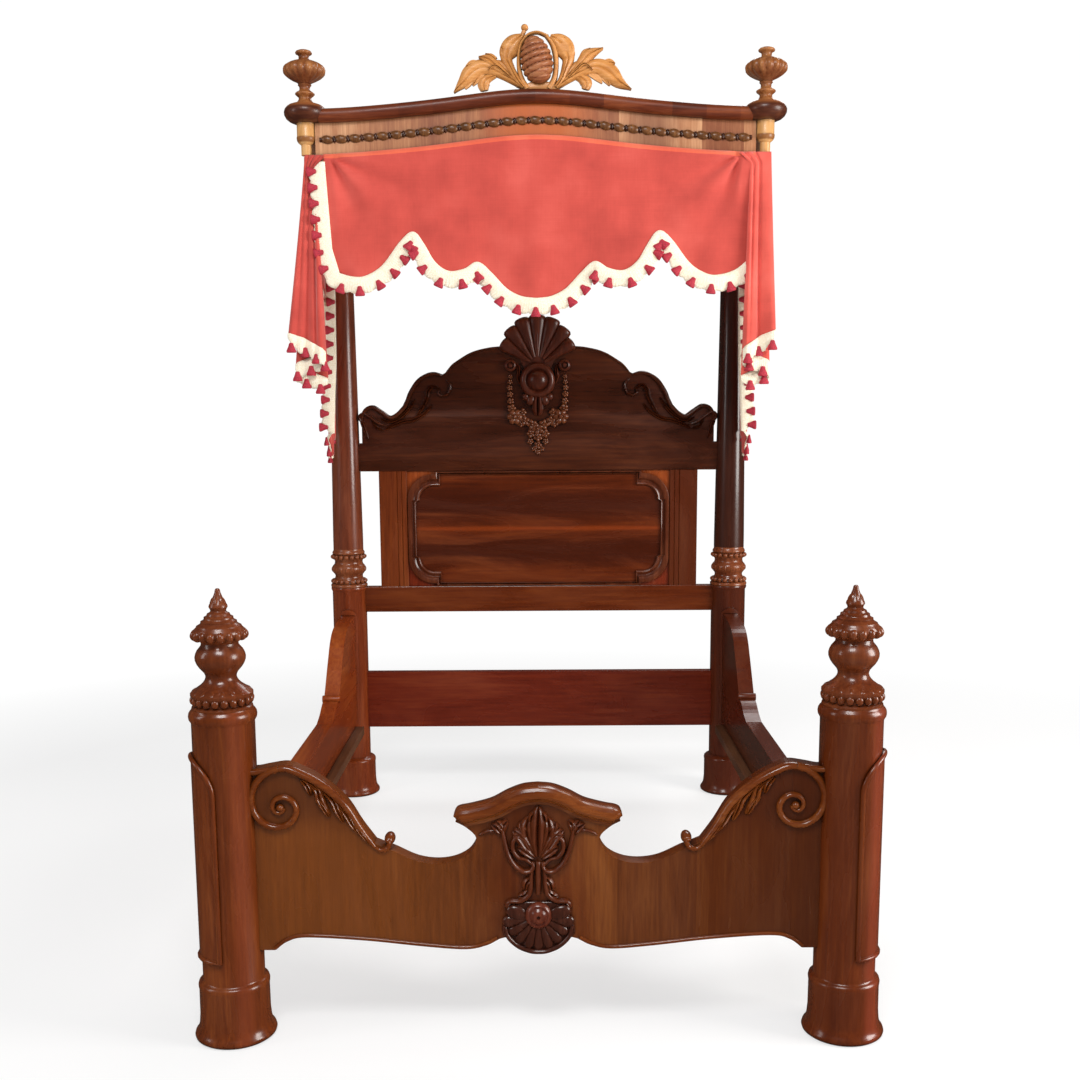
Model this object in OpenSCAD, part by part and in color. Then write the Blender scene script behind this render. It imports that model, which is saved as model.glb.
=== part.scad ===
// Carved half-tester bedstead with a draped canopy over the head end.
// Millimetres, +Z up, +Y from the foot to the head, centred on the floor.

/* [Bedstead] */
// Distance between post centres, across the bed
post_spacing = 1490; // [1250:10:1750]
// Distance between post centres, from foot to head
post_run = 2000; // [1850:10:2150]
// Gap left round every tenon, hook and dowel
fit = 0.3; // [0.2:0.1:0.6]

/* [Post feet] */
// Diameter of the plinth drum at the foot of every post
plinth_d = 168; // [160:1:190]
// Height of the plinth drum above the floor
plinth_h = 145; // [110:5:190]
// Diameter of the flared flange on the floor
flange_d = 196; // [192:1:220]
// Height of the flared flange
flange_h = 42; // [25:1:60]

/* [Foot posts] */
// Diameter of the foot post shaft
foot_post_d = 148; // [140:1:154]
// Height of the foot post with its top ring
foot_post_h = 818; // [760:1:900]
// Diameter of the lobed dish of the finial
finial_d = 130; // [116:1:146]
// Height of the finial above its post
finial_h = 284; // [250:1:320]
// Number of lobes and of pearls round a finial
finial_lobes = 16; // [12:1:18]
// Height of the applied panel on a foot post
foot_panel_h = 505; // [440:5:540]
// Thickness of the applied post panels
post_panel_t = 6; // [4:1:9]

/* [Footboard] */
// Thickness of the footboard
footboard_t = 46; // [36:1:60]
// Height of the footboard's lower edge at the posts
footboard_z = 220; // [180:5:260]
// Height of the footboard from its lower edge to the crest
footboard_h = 405; // [360:5:440]
// Width of the moulded cap over the crest
cap_w = 404; // [340:4:440]
// Thickness of the moulded cap
cap_t = 30; // [22:1:36]
// Outer diameter of the side scrolls
scroll_d = 112; // [90:2:120]
// Width of the carved roundel under the crest
roundel_w = 182; // [150:2:200]

/* [Side rails] */
// Thickness of the side rails
rail_t = 54; // [44:1:58]
// Height of the side rails
rail_h = 200; // [160:5:230]
// Height of the rails' lower edge above the floor
rail_z = 238; // [225:1:260]
// Height of the wing brackets above the rails
wing_h = 288; // [250:2:320]
// Length of the wing brackets along the rails
wing_l = 600; // [500:5:700]
// Width and height of the ledger cleats inside the rails
cleat_s = 32; // [24:1:40]

/* [Head posts] */
// Diameter of the lower head post column
head_post_d = 132; // [124:1:140]
// Height of the lower head post column
head_post_h = 832; // [800:4:880]
// Height of the beaded collar
collar_h = 150; // [130:2:180]
// Diameter of the upper column where it leaves the collar
upper_post_d = 116; // [104:1:124]
// Diameter of the upper column under the canopy
upper_post_top_d = 84; // [70:1:96]
// Width of the arched bead on a lower head column
arch_bead_w = 9; // [7:0.5:12]

/* [Headboard] */
// Thickness of the headboard frame
headboard_t = 36; // [30:1:44]
// Height of the headboard's bottom rail
bottom_rail_h = 100; // [80:2:120]
// Height of the framed panel
panel_h = 450; // [400:5:500]
// Height of the crest board, without its shell
crest_h = 474; // [420:2:520]
// Width of the stiles beside the panel
stile_w = 108; // [90:2:130]
// Gap between each stile and its post
stile_gap = 62; // [50:1:80]
// Thickness of the panel inside its frame
panel_t = 16; // [12:1:20]
// Height of the low cross rail between the head posts
cross_rail_h = 222; // [180:2:240]
// Height of that cross rail's lower edge above the floor
cross_rail_z = 268; // [240:2:290]
// Radius of the shell over the crest
shell_r = 140; // [120:2:160]

/* [Canopy frame] */
// Distance from the head post centres forward to the corner blocks
canopy_d = 640; // [560:10:720]
// Height of the underside of the canopy frame
canopy_z = 2330; // [2280:5:2380]
// Height of the frieze boards at the corners
frieze_h = 103; // [90:1:120]
// Thickness of the frieze boards
frieze_t = 20; // [16:1:26]
// Rise of the front frieze in the middle
front_rise = 57; // [40:1:70]
// Height of the rounded cornice
cornice_h = 43; // [36:1:52]
// Depth of the rounded cornice from back to front
cornice_d = 62; // [50:1:76]
// Length of one bead of the carved moulding in the frieze
bead_l = 42; // [36:1:60]
// Diameter of the discs on the corner blocks
disc_d = 138; // [120:1:146]
// Diameter of the pale corner drums
drum_d = 61; // [52:1:66]
// Height of the corner blocks, from the neck to the top of the disc
block_h = 158; // [145:1:175]
// Height of the corner finials
urn_h = 181; // [160:1:200]
// Diameter of the corner finials
urn_d = 138; // [116:1:146]
// Width of the carved crest on the cornice
leaves_w = 556; // [480:4:620]
// Height of the carved crest on the cornice
leaves_h = 190; // [170:2:200]
// Height of the oval nut in the crest
nut_h = 146; // [130:1:160]

/* [Drapery] */
// Thickness of the gathered cloth
cloth_t = 5; // [4:0.5:7]
// Drop of the front valance in the middle, without its fringe
valance_drop = 465; // [430:5:520]
// Depth of the fringe
fringe_h = 60; // [50:1:80]
// Width of the gathered fall at each front corner
fall_w = 140; // [110:1:150]
// Drop of the gathered falls
fall_drop = 640; // [560:5:700]
// Drop of the rear tails beside the head posts
tail_drop = 1000; // [900:5:1040]
// Depth of the cloth folds, from crest to hollow
fold = 14; // [8:1:20]

/* [Hidden] */

smooth = 48;
mahogany = "#6b2f14";
mahogany_light = "#8a4420";
mahogany_dark = "#4a1f0e";
veneer = "#b98a70";
gilt_oak = "#c98a45";
walnut = "#9a6248";
coral = "#d9584c";
cream = "#fbeed0";
iron = "#3c3a38";
linen = "#d8cbb4";

foot_r = foot_post_d / 2;
head_r = head_post_d / 2;
half = post_spacing / 2;
foot_y = -post_run / 2;
head_y = post_run / 2;
canopy_y = head_y - canopy_d;

// How deep boards and rails are housed into the round posts
housing = 12;
tenon_l = 34;
tenon_t = 20;
foot_seat = foot_r - housing;
head_seat = head_r - housing;

// Hook plates at the rail ends
hook_plate = [20, 3, 130];
hook_out = 15;
hook_t = 5;
hook_h = 26;
hook_pitch = 70;
rail_mid = rail_z + rail_h / 2;

// Stations up the head end
collar_z = head_post_h;
upper_z = collar_z + collar_h;
bottom_rail_z = head_post_h - bottom_rail_h;
panel_z = head_post_h;
crest_z = panel_z + panel_h;
stile_x = half - head_r - stile_gap;
opening_x = stile_x - stile_w;

// Stations of the canopy
frieze_top = canopy_z + frieze_h;
block_top = canopy_z + block_h;
side_front = canopy_y + drum_d / 2;

// Points of a circular arc about [cx, cy]
function arc(cx, cy, r, a0, a1, n = 10) =
    [for (i = [0:n]) let (a = a0 + (a1 - a0) * i / n) [cx + r * cos(a), cy + r * sin(a)]];

// A smooth curve through a few key points
function pass(a, b, c, d, t) = 0.5 * (2 * b + (c - a) * t
    + (2 * a - 5 * b + 4 * c - d) * t * t + (3 * b - a - 3 * c + d) * t * t * t);
function curve(k, n = 4) = concat(
    [for (i = [0:len(k) - 2]) for (j = [0:n - 1])
        pass(k[max(i - 1, 0)], k[i], k[i + 1], k[min(i + 2, len(k) - 1)], j / n)],
    [k[len(k) - 1]]);

// The same list backwards, and mirrored about x = 0
function back(p) = [for (i = [len(p) - 1:-1:0]) p[i]];
function flip(p) = [for (q = p) [-q[0], q[1]]];
// Scale key points given as shares of a width and a height, from a start point
function place(k, w, h, x = 0, z = 0) = [for (q = k) [x + q[0] * w, z + q[1] * h]];

// A board with an outline in the X-Z plane, its thickness centred on y = 0
module board(outline, t) {
    translate([0, t / 2, 0])
        rotate([90, 0, 0])
            linear_extrude(t) polygon(outline);
}

// A solid of revolution about +Z from a half profile
module turned(profile) {
    rotate_extrude($fn = smooth) polygon(profile);
}

// Draws the left piece and its mirror image, one at a time
module right_side() {
    mirror([1, 0, 0]) children();
}

// ---------------------------------------------------------------- posts

// Half profile of the plinth drum and its flange, from the floor up
function plinth_profile() = concat(
    [[0, 0], [flange_d / 2 - 4, 0], [flange_d / 2, 5]],
    arc(flange_d / 2 + 2, flange_h + 2, flange_d / 2 - plinth_d / 2 + 2, 240, 180, 6),
    [[plinth_d / 2, plinth_h - 12]],
    arc(plinth_d / 2 - 8, plinth_h - 10, 8, 0, 90, 5));

module foot_post_left() {
    ring = foot_r + 6;
    color(mahogany)
    translate([-half, foot_y, 0])
    difference() {
        turned(concat(plinth_profile(), [
            [foot_r, plinth_h - 2], [foot_r, foot_post_h - 26],
            [ring - 1, foot_post_h - 22], [ring, foot_post_h - 12],
            [ring - 2, foot_post_h - 4], [ring - 6, foot_post_h], [0, foot_post_h]]));
        // housing and mortise for the footboard
        translate([foot_seat, -footboard_t / 2 - fit, footboard_z - fit])
            cube([foot_r, footboard_t + 2 * fit, footboard_side_h() + 2 * fit]);
        translate([foot_seat - tenon_l - fit, -tenon_t / 2 - fit, footboard_z + 40 - fit])
            cube([tenon_l + 2 * fit, tenon_t + 2 * fit, tenon_h() + 2 * fit]);
        // housing, keeper seat and hook slots for the side rail
        translate([-rail_t / 2 - fit, foot_seat, rail_z - fit])
            cube([rail_t + 2 * fit, foot_r, rail_h + 2 * fit]);
        keeper_seat(foot_seat);
        // socket for the finial's spigot
        translate([0, 0, foot_post_h - 40 - fit])
            cylinder(h = 41, d = 30 + 2 * fit, $fn = smooth);
    }
}

// Pockets for a keeper plate and its hooks in a post face at distance s
module keeper_seat(s) {
    translate([-hook_plate[0] / 2, s - hook_plate[1], rail_mid - hook_plate[2] / 2])
        cube([hook_plate[0], hook_plate[1] + 1, hook_plate[2]]);
    for (i = [-1, 1])
        translate([-hook_t / 2 - 1, s - hook_out - 3, rail_mid + i * hook_pitch / 2 - hook_h])
            cube([hook_t + 2, hook_out + 3, 1.5 * hook_h + 3]);
}

module foot_post_right() { right_side() foot_post_left(); }

// Half profile of a foot finial, as shares of its diameter and height
function finial_profile() = let (r = finial_d / 2, h = finial_h) concat(
    [[0, -40], [15, -40], [15, 0], [1.1 * r, 0]],
    curve([[1.1 * r, 0.03 * h], [1.11 * r, 0.09 * h], [1.16 * r, 0.14 * h],
        [1.03 * r, 0.185 * h], [0.72 * r, 0.225 * h], [0.62 * r, 0.255 * h],
        [0.66 * r, 0.29 * h]], 3),
    curve([[0.7 * r, 0.31 * h], [0.86 * r, 0.36 * h], [0.94 * r, 0.42 * h],
        [0.87 * r, 0.48 * h], [0.7 * r, 0.52 * h], [0.67 * r, 0.545 * h]], 3),
    curve([[0.72 * r, 0.56 * h], [0.93 * r, 0.6 * h], [0.94 * r, 0.64 * h],
        [0.78 * r, 0.69 * h], [0.62 * r, 0.71 * h]], 3),
    [[0.6 * r, 0.735 * h], [0.46 * r, 0.745 * h], [0.44 * r, 0.775 * h],
        [0.34 * r, 0.79 * h]],
    curve([[0.31 * r, 0.8 * h], [0.29 * r, 0.825 * h], [0.36 * r, 0.85 * h],
        [0.29 * r, 0.89 * h], [0.15 * r, 0.95 * h], [0.06 * r, 0.99 * h]], 3),
    [[0, h]]);

// One lobe lies along a dish like a drop, thin at its inner end, drawn about the Z axis
module lobe(r, l) {
    rotate_extrude($fn = 16)
        polygon([[0, -0.5 * l], [0.75 * r, 0], [r, 0.24 * l], [0.7 * r, 0.42 * l], [0, 0.5 * l]]);
}

module foot_finial_left() {
    r = finial_d / 2;
    lobe_r = 0.82 * PI * r / finial_lobes;
    color(mahogany_light)
    translate([-half, foot_y, foot_post_h]) {
        turned(finial_profile());
        for (i = [0:finial_lobes - 1])
            rotate([0, 0, (i + 0.5) * 360 / finial_lobes]) {
                translate([0.8 * r, 0, 0.64 * finial_h])
                    rotate([0, 58, 0]) lobe(lobe_r, 0.52 * r);
                translate([1.06 * r, 0, 0.06 * finial_h])
                    sphere(r = 0.86 * lobe_r, $fn = 16);
            }
    }
}

module foot_finial_right() { right_side() foot_finial_left(); }

// An arched panel wrapped on the outer side of a post whose radius is r. It stops short of
// the side rail, and its border stands proud of the field by half the panel's thickness.
module wrapped_panel(r, h) {
    span = 74;
    rise = 1.25 * r;
    edge = 9;
    spring = h - rise;
    rotate([0, 0, 10])
    difference() {
        rotate([0, 0, 180 - span])
            rotate_extrude(angle = 2 * span, $fn = 96)
                translate([r, 0]) square([1.5 * post_panel_t, h]);
        // above the arch
        translate([-2 * r, 0, 0]) rotate([90, 0, 90]) linear_extrude(2 * r)
            polygon(concat([[-2 * r, spring], [-2 * r, h + 1], [2 * r, h + 1], [2 * r, spring]],
                [for (i = [8:-1:-8]) let (a = span * i / 8)
                    [1.05 * r * sin(a), spring + rise * sqrt(max(1 - i * i / 64, 0))]]));
        // the field inside the border
        intersection() {
            rotate([0, 0, 187 - span])
                rotate_extrude(angle = 2 * span - 14, $fn = 96)
                    translate([r + post_panel_t, 0]) square([post_panel_t, h]);
            translate([-2 * r, 0, 0]) rotate([90, 0, 90]) linear_extrude(2 * r)
                polygon(concat([[-1.3 * r, edge], [1.3 * r, edge], [1.3 * r, spring]],
                    [for (i = [8:-1:-8]) let (a = (span - 7) * i / 8)
                        [1.16 * r * sin(a), spring + (rise - edge) * sqrt(1 - i * i / 64)]],
                    [[-1.3 * r, spring]]));
        }
    }
}

// From the plinth up to the panel
foot_panel_gap = 60;
module foot_post_panel_left() {
    color(mahogany_light)
        translate([-half, foot_y, plinth_h + foot_panel_gap])
            wrapped_panel(foot_r, foot_panel_h);
}

module foot_post_panel_right() { right_side() foot_post_panel_left(); }

// ---------------------------------------------------------------- footboard

// Height of the board where it enters the posts, as a share of its height
end_share = 1.112;
function footboard_side_h() = end_share * footboard_h;
function tenon_h() = footboard_side_h() - 80;

// Edge of the board from the post to the crest, as shares of half its length and its height
function fb_shoulder() = curve([[-1, end_share], [-0.975, end_share], [-0.93, 1.127],
    [-0.874, 1.138], [-0.826, 1.109],
    [-0.764, 1.052], [-0.71, 0.98], [-0.662, 0.894], [-0.618, 0.77], [-0.571, 0.659]], 4);
function fb_sweep() = curve([[-0.5, 0.61], [-0.425, 0.551], [-0.353, 0.533], [-0.287, 0.551],
    [-0.236, 0.605], [-0.216, 0.69], [-0.249, 0.753], [-0.288, 0.79]], 4);
function fb_crest() = curve([[-0.272, 0.864], [-0.214, 0.872], [-0.164, 0.906],
    [-0.107, 0.956], [-0.048, 0.99], [0, 1]], 4);
// Lower edge from the post to the roundel
function fb_under() = curve([[-0.934, 0], [-0.89, 0.054], [-0.818, 0.079], [-0.608, 0.057],
    [-0.395, 0.017], [-0.256, 0], [-0.184, 0.025], [-0.12, 0.072], [0, 0.075]], 4);

fb_half = half - foot_seat;

function footboard_outline() = let (
    top = concat(place(concat(fb_shoulder(), fb_sweep()), fb_half, footboard_h, 0, footboard_z),
        place(fb_crest(), fb_half, footboard_h, 0, footboard_z - cap_t / 2)),
    low = place(fb_under(), fb_half, footboard_h, 0, footboard_z),
    left = concat(back(low), [[-fb_half, footboard_z]], top))
    concat(left, back(flip([for (i = [1:len(left) - 2]) left[i]])));

module footboard() {
    color(mahogany)
    translate([0, foot_y, 0]) {
        board(footboard_outline(), footboard_t);
        // stub tenons at both ends
        for (x = [-fb_half - tenon_l, fb_half - 1])
            translate([x, -tenon_t / 2, footboard_z + 40])
                cube([tenon_l + 1, tenon_t, tenon_h()]);
    }
}

// Cupid's bow moulding bent over the crest, with returns at the front
function cap_top() = let (w = cap_w / 2, h = footboard_h) concat(
    curve([[-w, -0.183 * h], [-0.96 * w, -0.14 * h], [-0.78 * w, -0.127 * h], [-0.55 * w, -0.094 * h],
        [-0.36 * w, -0.044 * h], [-0.18 * w, -0.009 * h], [0, 0]], 4));

// Outline of the cap, drawn in by g on its upper and lower edge
function cap_outline(g) = let (
    top = place(cap_top(), 1, 1, 0, footboard_z + footboard_h - g),
    low = [for (q = cap_top()) [0.94 * q[0], footboard_z + footboard_h + q[1] - cap_t + g
        + 0.2 * cap_t * pow(abs(q[0]) / cap_w * 2, 4)]])
    concat(top, back(flip([for (i = [0:len(top) - 2]) top[i]])),
        flip([for (i = [0:len(low) - 2]) low[i]]), back(low));

module footboard_cap() {
    color(mahogany_light)
    translate([0, foot_y, 0])
    difference() {
        union() {
            board(cap_outline(0), footboard_t + 26);
            board(cap_outline(6), footboard_t + 40);
        }
        // the board stands in a groove under the cap
        board(footboard_outline(), footboard_t);
    }
}

// Rim moulding that follows the shoulder and winds into the volute
scroll_x = -fb_half + 9 + scroll_d / 2;
scroll_z = footboard_z + 0.885 * footboard_h;
scroll_rim = 12;
function scroll_line() = [for (i = [0:24])
    let (a = 110 + 30 * i, r = (scroll_d - scroll_rim) / 2 * (1 - 0.026 * i))
        [scroll_x + r * cos(a), scroll_z + r * sin(a)]];

// A flat band of width w along a line of points
function band(line, w) = let (n = len(line) - 1, side = [for (i = [0:n])
    let (d = line[min(i + 1, n)] - line[max(i - 1, 0)]) [-d[1], d[0]] / norm(d)])
    concat([for (i = [0:n]) line[i] + side[i] * w / 2],
        [for (i = [n:-1:0]) line[i] - side[i] * w / 2]);

module footboard_scroll_left() {
    shoulder = place([for (q = fb_shoulder()) if (q[0] > -0.9) q], fb_half, footboard_h, 0,
        footboard_z - scroll_rim / 2);
    front = -footboard_t / 2;
    color(mahogany_light)
    translate([0, foot_y, 0]) difference() {
        union() {
        board_at(front - 5, band(scroll_line(), scroll_rim), 10);
        board_at(front - 5, band(shoulder, scroll_rim), 10);
        translate([scroll_x, front, scroll_z]) rotate([90, 0, 0])
            cylinder(h = 13, r = 0.15 * scroll_d, $fn = smooth);
        // fronds hang under the rim
        for (i = [0:5])
            let (q = fb_shoulder()[12 + 3 * i])
                translate([q[0] * fb_half, front, footboard_z + q[1] * footboard_h - 4])
                    rotate([0, 112 - 9 * i, 0])
                        leaf(62 - 5 * i, 22, 8);
        // bud at the end of the rim
        translate([-0.521 * fb_half, footboard_t / 2, footboard_z + 0.66 * footboard_h])
            rotate([90, 0, 0]) cylinder(h = footboard_t + 10, r = 14, $fn = smooth);
        }
        board(footboard_outline(), footboard_t);
    }
}

module footboard_scroll_right() { right_side() footboard_scroll_left(); }

// One pointed leaf of length l and width w, thick t, lying in the X-Z plane
module leaf(l, w, t) {
    rotate([90, 0, 0]) linear_extrude(t)
        polygon(curve([[0, 0], [0.25 * l, 0.42 * w], [0.6 * l, 0.5 * w], [0.88 * l, 0.22 * w],
            [l, 0], [0.88 * l, -0.22 * w], [0.6 * l, -0.5 * w], [0.25 * l, -0.42 * w],
            [0, 0]], 3));
}

roundel_top = footboard_z + 0.71 * roundel_w;

module footboard_carving() {
    z0 = footboard_z + 0.52 * footboard_h;
    color(mahogany_light)
    translate([0, foot_y - footboard_t / 2, z0]) {
        // spray of leaves
        for (i = [-3:3])
            rotate([0, -90 + 24 * i, 0]) translate([10, 0, 0])
                leaf(118 - 9 * abs(i), 26, 9 - abs(i));
        // a pair of C-scrolls, and buds at their upper ends
        for (s = [-1, 1]) {
            board_at(-5, band([for (i = [0:12]) let (a = 100 + 22 * i, r = 50 - 2.2 * i)
                [s * (44 + r * cos(a)), 16 + r * sin(a)]], 10), 10);
            translate([s * 94, 0, 86]) rotate([90, 0, 0]) cylinder(h = 8, r = 12, $fn = 24);
        }
        // stem down to the top of the roundel
        let (foot = roundel_top - z0 + 1.4)
            board_at(-5, [[-9, 20], [9, 20], [7, foot], [-7, foot]], 10);
    }
}

// A board outline set off along y
module board_at(y, outline, t) {
    translate([0, y, 0]) board(outline, t);
}

// Lobed roundel that drops below the board's lower edge, with a turned boss
module footboard_roundel() {
    r = roundel_w / 2;
    color(mahogany_dark)
    translate([0, foot_y - footboard_t / 2, footboard_z + 0.68 * r])
        rotate([90, 0, 0]) {
            linear_extrude(8)
                polygon([for (i = [0:59]) let (a = 6 * i, e = r * (1 - 0.09 * cos(5 * (a - 90))) / 1.09)
                    [e * cos(a), 0.74 * e * sin(a)]]);
            translate([0, 0.36 * r, 0])
                rotate_extrude($fn = smooth)
                    polygon(concat([[0, 0], [0.36 * r, 0]],
                        curve([[0.36 * r, 10], [0.32 * r, 17], [0.26 * r, 12], [0.16 * r, 20],
                            [0, 24]], 3)));
        }
}

// ---------------------------------------------------------------- side rails

rail_front = foot_y + foot_seat;
rail_back = head_y - head_seat;

module side_rail_left() {
    color(mahogany)
    difference() {
        translate([-half - rail_t / 2, rail_front, rail_z])
            cube([rail_t, rail_back - rail_front, rail_h]);
        // plates are let in flush at both ends
        for (y = [rail_front - 1, rail_back - hook_plate[1]])
            translate([-half - hook_plate[0] / 2, y, rail_mid - hook_plate[2] / 2])
                cube([hook_plate[0], hook_plate[1] + 1, hook_plate[2]]);
    }
}

module side_rail_right() { right_side() side_rail_left(); }

// Edge of the wing bracket from the head post down to the rail, shares of length and height
function wing_line() = concat(
    curve([[0, 1], [-0.2, 0.97], [-0.37, 0.91], [-0.472, 0.79], [-0.54, 0.64], [-0.605, 0.49],
        [-0.67, 0.33], [-0.72, 0.21]], 3),
    curve([[-0.76, 0.165], [-0.81, 0.145], [-0.9, 0.06], [-1, 0]], 3));

module wing_bracket_left() {
    color(mahogany)
    translate([-half, head_y - head_seat, rail_z + rail_h])
    difference() {
        union() {
            translate([-rail_t / 2, 0, 0]) rotate([90, 0, 90])
                linear_extrude(rail_t)
                    polygon(concat([[0, 0]], place(wing_line(), wing_l, wing_h)));
            // bead on the step of the edge
            translate([-rail_t / 2 - 4, -0.738 * wing_l, 0.186 * wing_h])
                rotate([0, 90, 0]) cylinder(h = rail_t + 8, r = 13, $fn = smooth);
        }
        // scribed to the round post
        translate([0, head_seat, -1]) cylinder(h = wing_h + 2, r = head_r, $fn = 96);
    }
}

module wing_bracket_right() { right_side() wing_bracket_left(); }

// The cleats stop short of the posts
cleat_gap = 60;
module rail_cleat_left() {
    color(mahogany_dark)
        translate([-half + rail_t / 2, rail_front + cleat_gap, rail_z + 24])
            cube([cleat_s, rail_back - rail_front - 2 * cleat_gap, cleat_s]);
}

module rail_cleat_right() { right_side() rail_cleat_left(); }

// Plate with two hooks; the hooks point to -Y and drop behind the keeper
module hook_casting() {
    translate([-hook_plate[0] / 2, 0, -hook_plate[2] / 2])
        cube(hook_plate);
    for (i = [-1, 1])
        translate([-hook_t / 2, 0, i * hook_pitch / 2])
            rotate([90, 0, 90]) linear_extrude(hook_t)
                polygon([[0, 0.45 * hook_h], [-hook_out + 3, 0.45 * hook_h],
                    [-hook_out, 0.3 * hook_h], [-hook_out, -0.85 * hook_h],
                    [-4, -0.85 * hook_h], [-4, -0.1 * hook_h], [0, -0.1 * hook_h]]);
}

module rail_hooks() {
    color(iron)
        for (s = [-1, 1]) {
            translate([s * half, rail_front, rail_mid]) hook_casting();
            translate([s * half, rail_back, rail_mid]) rotate([0, 0, 180]) hook_casting();
        }
}

// Keeper plate with two slots, let in behind the rail's end
module keeper_plate() {
    difference() {
        translate([-hook_plate[0] / 2, -hook_plate[1], -hook_plate[2] / 2])
            cube(hook_plate);
        for (i = [-1, 1])
            translate([-hook_t / 2 - 1, -hook_plate[1] - 1, i * hook_pitch / 2 - 0.3 * hook_h])
                cube([hook_t + 2, hook_plate[1] + 2, 0.8 * hook_h + 2]);
    }
}

module hook_keepers() {
    color(iron)
        for (s = [-1, 1]) {
            translate([s * half, rail_front, rail_mid]) keeper_plate();
            translate([s * half, rail_back, rail_mid]) rotate([0, 0, 180]) keeper_plate();
        }
}

// ---------------------------------------------------------------- head posts

dowel_d = 34;
dowel_l = 30;

module head_post_left() {
    color(mahogany)
    translate([-half, head_y, 0])
    difference() {
        turned(concat(plinth_profile(), [
            [head_r, plinth_h - 2], [head_r, head_post_h - 14],
            [head_r + 3, head_post_h - 10], [head_r + 3, head_post_h], [0, head_post_h]]));
        // housing, keeper seat and hook slots for the side rail
        translate([-rail_t / 2 - fit, -head_seat - head_r, rail_z - fit])
            cube([rail_t + 2 * fit, head_r, rail_h + 2 * fit]);
        rotate([0, 0, 180]) keeper_seat(head_seat);
        // housings and mortises for the low cross rail and the bottom rail
        head_housing(cross_rail_z, cross_rail_h);
        head_housing(bottom_rail_z, bottom_rail_h + 1);
        dowel_hole(head_post_h);
    }
}

// Housing and mortise in a head post for a rail of height h at height z
module head_housing(z, h) {
    translate([head_seat, -headboard_t / 2 - fit, z - fit])
        cube([head_r, headboard_t + 2 * fit, h + 2 * fit]);
    translate([head_seat - tenon_l - fit, -tenon_t / 2 - fit, z + 0.15 * h - fit])
        cube([tenon_l + 2 * fit, tenon_t + 2 * fit, 0.7 * h + 2 * fit]);
}

// Blind hole for a dowel in a face at height z
module dowel_hole(z) {
    translate([0, 0, z - dowel_l - fit])
        cylinder(h = dowel_l + 1, d = dowel_d + 2 * fit, $fn = smooth);
}

module head_post_right() { right_side() head_post_left(); }

// Rings of pearls and a torus between the two columns
module head_collar_left() {
    r = head_r;
    h = collar_h;
    pearls = 18;
    color(mahogany_light)
    translate([-half, head_y, collar_z])
    difference() {
        union() {
            turned(concat([[0, -dowel_l], [dowel_d / 2, -dowel_l], [dowel_d / 2, 0], [r + 4, 0]],
                arc(r, 0.045 * h, 0.045 * h, -60, 60, 4),
                curve([[r - 3, 0.1 * h], [r - 4, 0.2 * h], [0.8 * r, 0.27 * h], [0.82 * r, 0.36 * h],
                    [0.95 * r, 0.44 * h], [0.99 * r, 0.5 * h], [0.94 * r, 0.57 * h],
                    [0.8 * r, 0.64 * h], [0.86 * r, 0.72 * h], [0.97 * r, 0.76 * h],
                    [0.98 * r, 0.86 * h], [upper_post_d / 2 + 3, 0.93 * h],
                    [upper_post_d / 2 + 1, h]], 3), [[0, h]]));
            for (i = [0:pearls - 1])
                for (z = [0.15, 0.81])
                    rotate([0, 0, 360 * (i + 0.5) / pearls])
                        translate([0.96 * r, 0, z * h]) sphere(r = 0.062 * h, $fn = 16);
        }
        dowel_hole(h);
    }
}

module head_collar_right() { right_side() head_collar_left(); }

// Radius of the upper column at height z
function upper_r(z) = (upper_post_d - (upper_post_d - upper_post_top_d)
    * max(z - upper_z - 40, 0) / (frieze_top - upper_z - 40)) / 2;
crest_tenon_h = 108;
crest_seat = upper_r(crest_z + crest_tenon_h) - housing;
canopy_seat = upper_post_top_d / 2 - housing;

// Tapered column that carries the canopy, cut for the headboard's crest and the back rail
module upper_post_left() {
    r = upper_post_d / 2;
    color(mahogany)
    translate([-half, head_y, 0])
    difference() {
        turned([[0, upper_z - dowel_l], [dowel_d / 2, upper_z - dowel_l], [dowel_d / 2, upper_z],
            [r, upper_z], [r, upper_z + 40], [upper_post_top_d / 2, frieze_top], [0, frieze_top]]);
        translate([crest_seat, -headboard_t / 2 - fit, crest_z - fit])
            cube([r, headboard_t + 2 * fit, crest_tenon_h + 2 * fit]);
        translate([crest_seat - tenon_l - fit, -tenon_t / 2 - fit, crest_z + 20 - fit])
            cube([tenon_l + 2 * fit, tenon_t + 2 * fit, crest_tenon_h - 40 + 2 * fit]);
        // notch for the back rail of the canopy
        translate([canopy_seat, -frieze_t / 2 - fit, canopy_z - fit])
            cube([r, frieze_t + 2 * fit, frieze_h + 2]);
    }
}

module upper_post_right() { right_side() upper_post_left(); }

// Arched bead on the post that frames the rail's end and the wing bracket
module head_post_bead_left() {
    z0 = rail_z - arch_bead_w;
    top = rail_z + rail_h + wing_h;
    inner = rail_t / 2 + fit;
    outer = inner + arch_bead_w;
    color(mahogany_light)
    translate([-half, head_y, 0])
        intersection() {
            difference() {
                translate([0, 0, z0]) cylinder(h = top + outer - z0, r = head_r + 5, $fn = 96);
                translate([0, 0, z0 - 1]) cylinder(h = top + outer, r = head_r, $fn = 96);
            }
            translate([0, -head_r / 2, 0]) rotate([90, 0, 0]) linear_extrude(head_r)
                difference() {
                    polygon(concat([[-outer, z0], [outer, z0]],
                        arc(0, top - 0.4 * outer, outer, 0, 180, 12)));
                    polygon([[-inner, rail_z - fit], [inner, rail_z - fit], [inner, top + fit],
                        [-inner, top + fit]]);
                }
        }
}

module head_post_bead_right() { right_side() head_post_bead_left(); }

// ---------------------------------------------------------------- headboard

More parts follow.
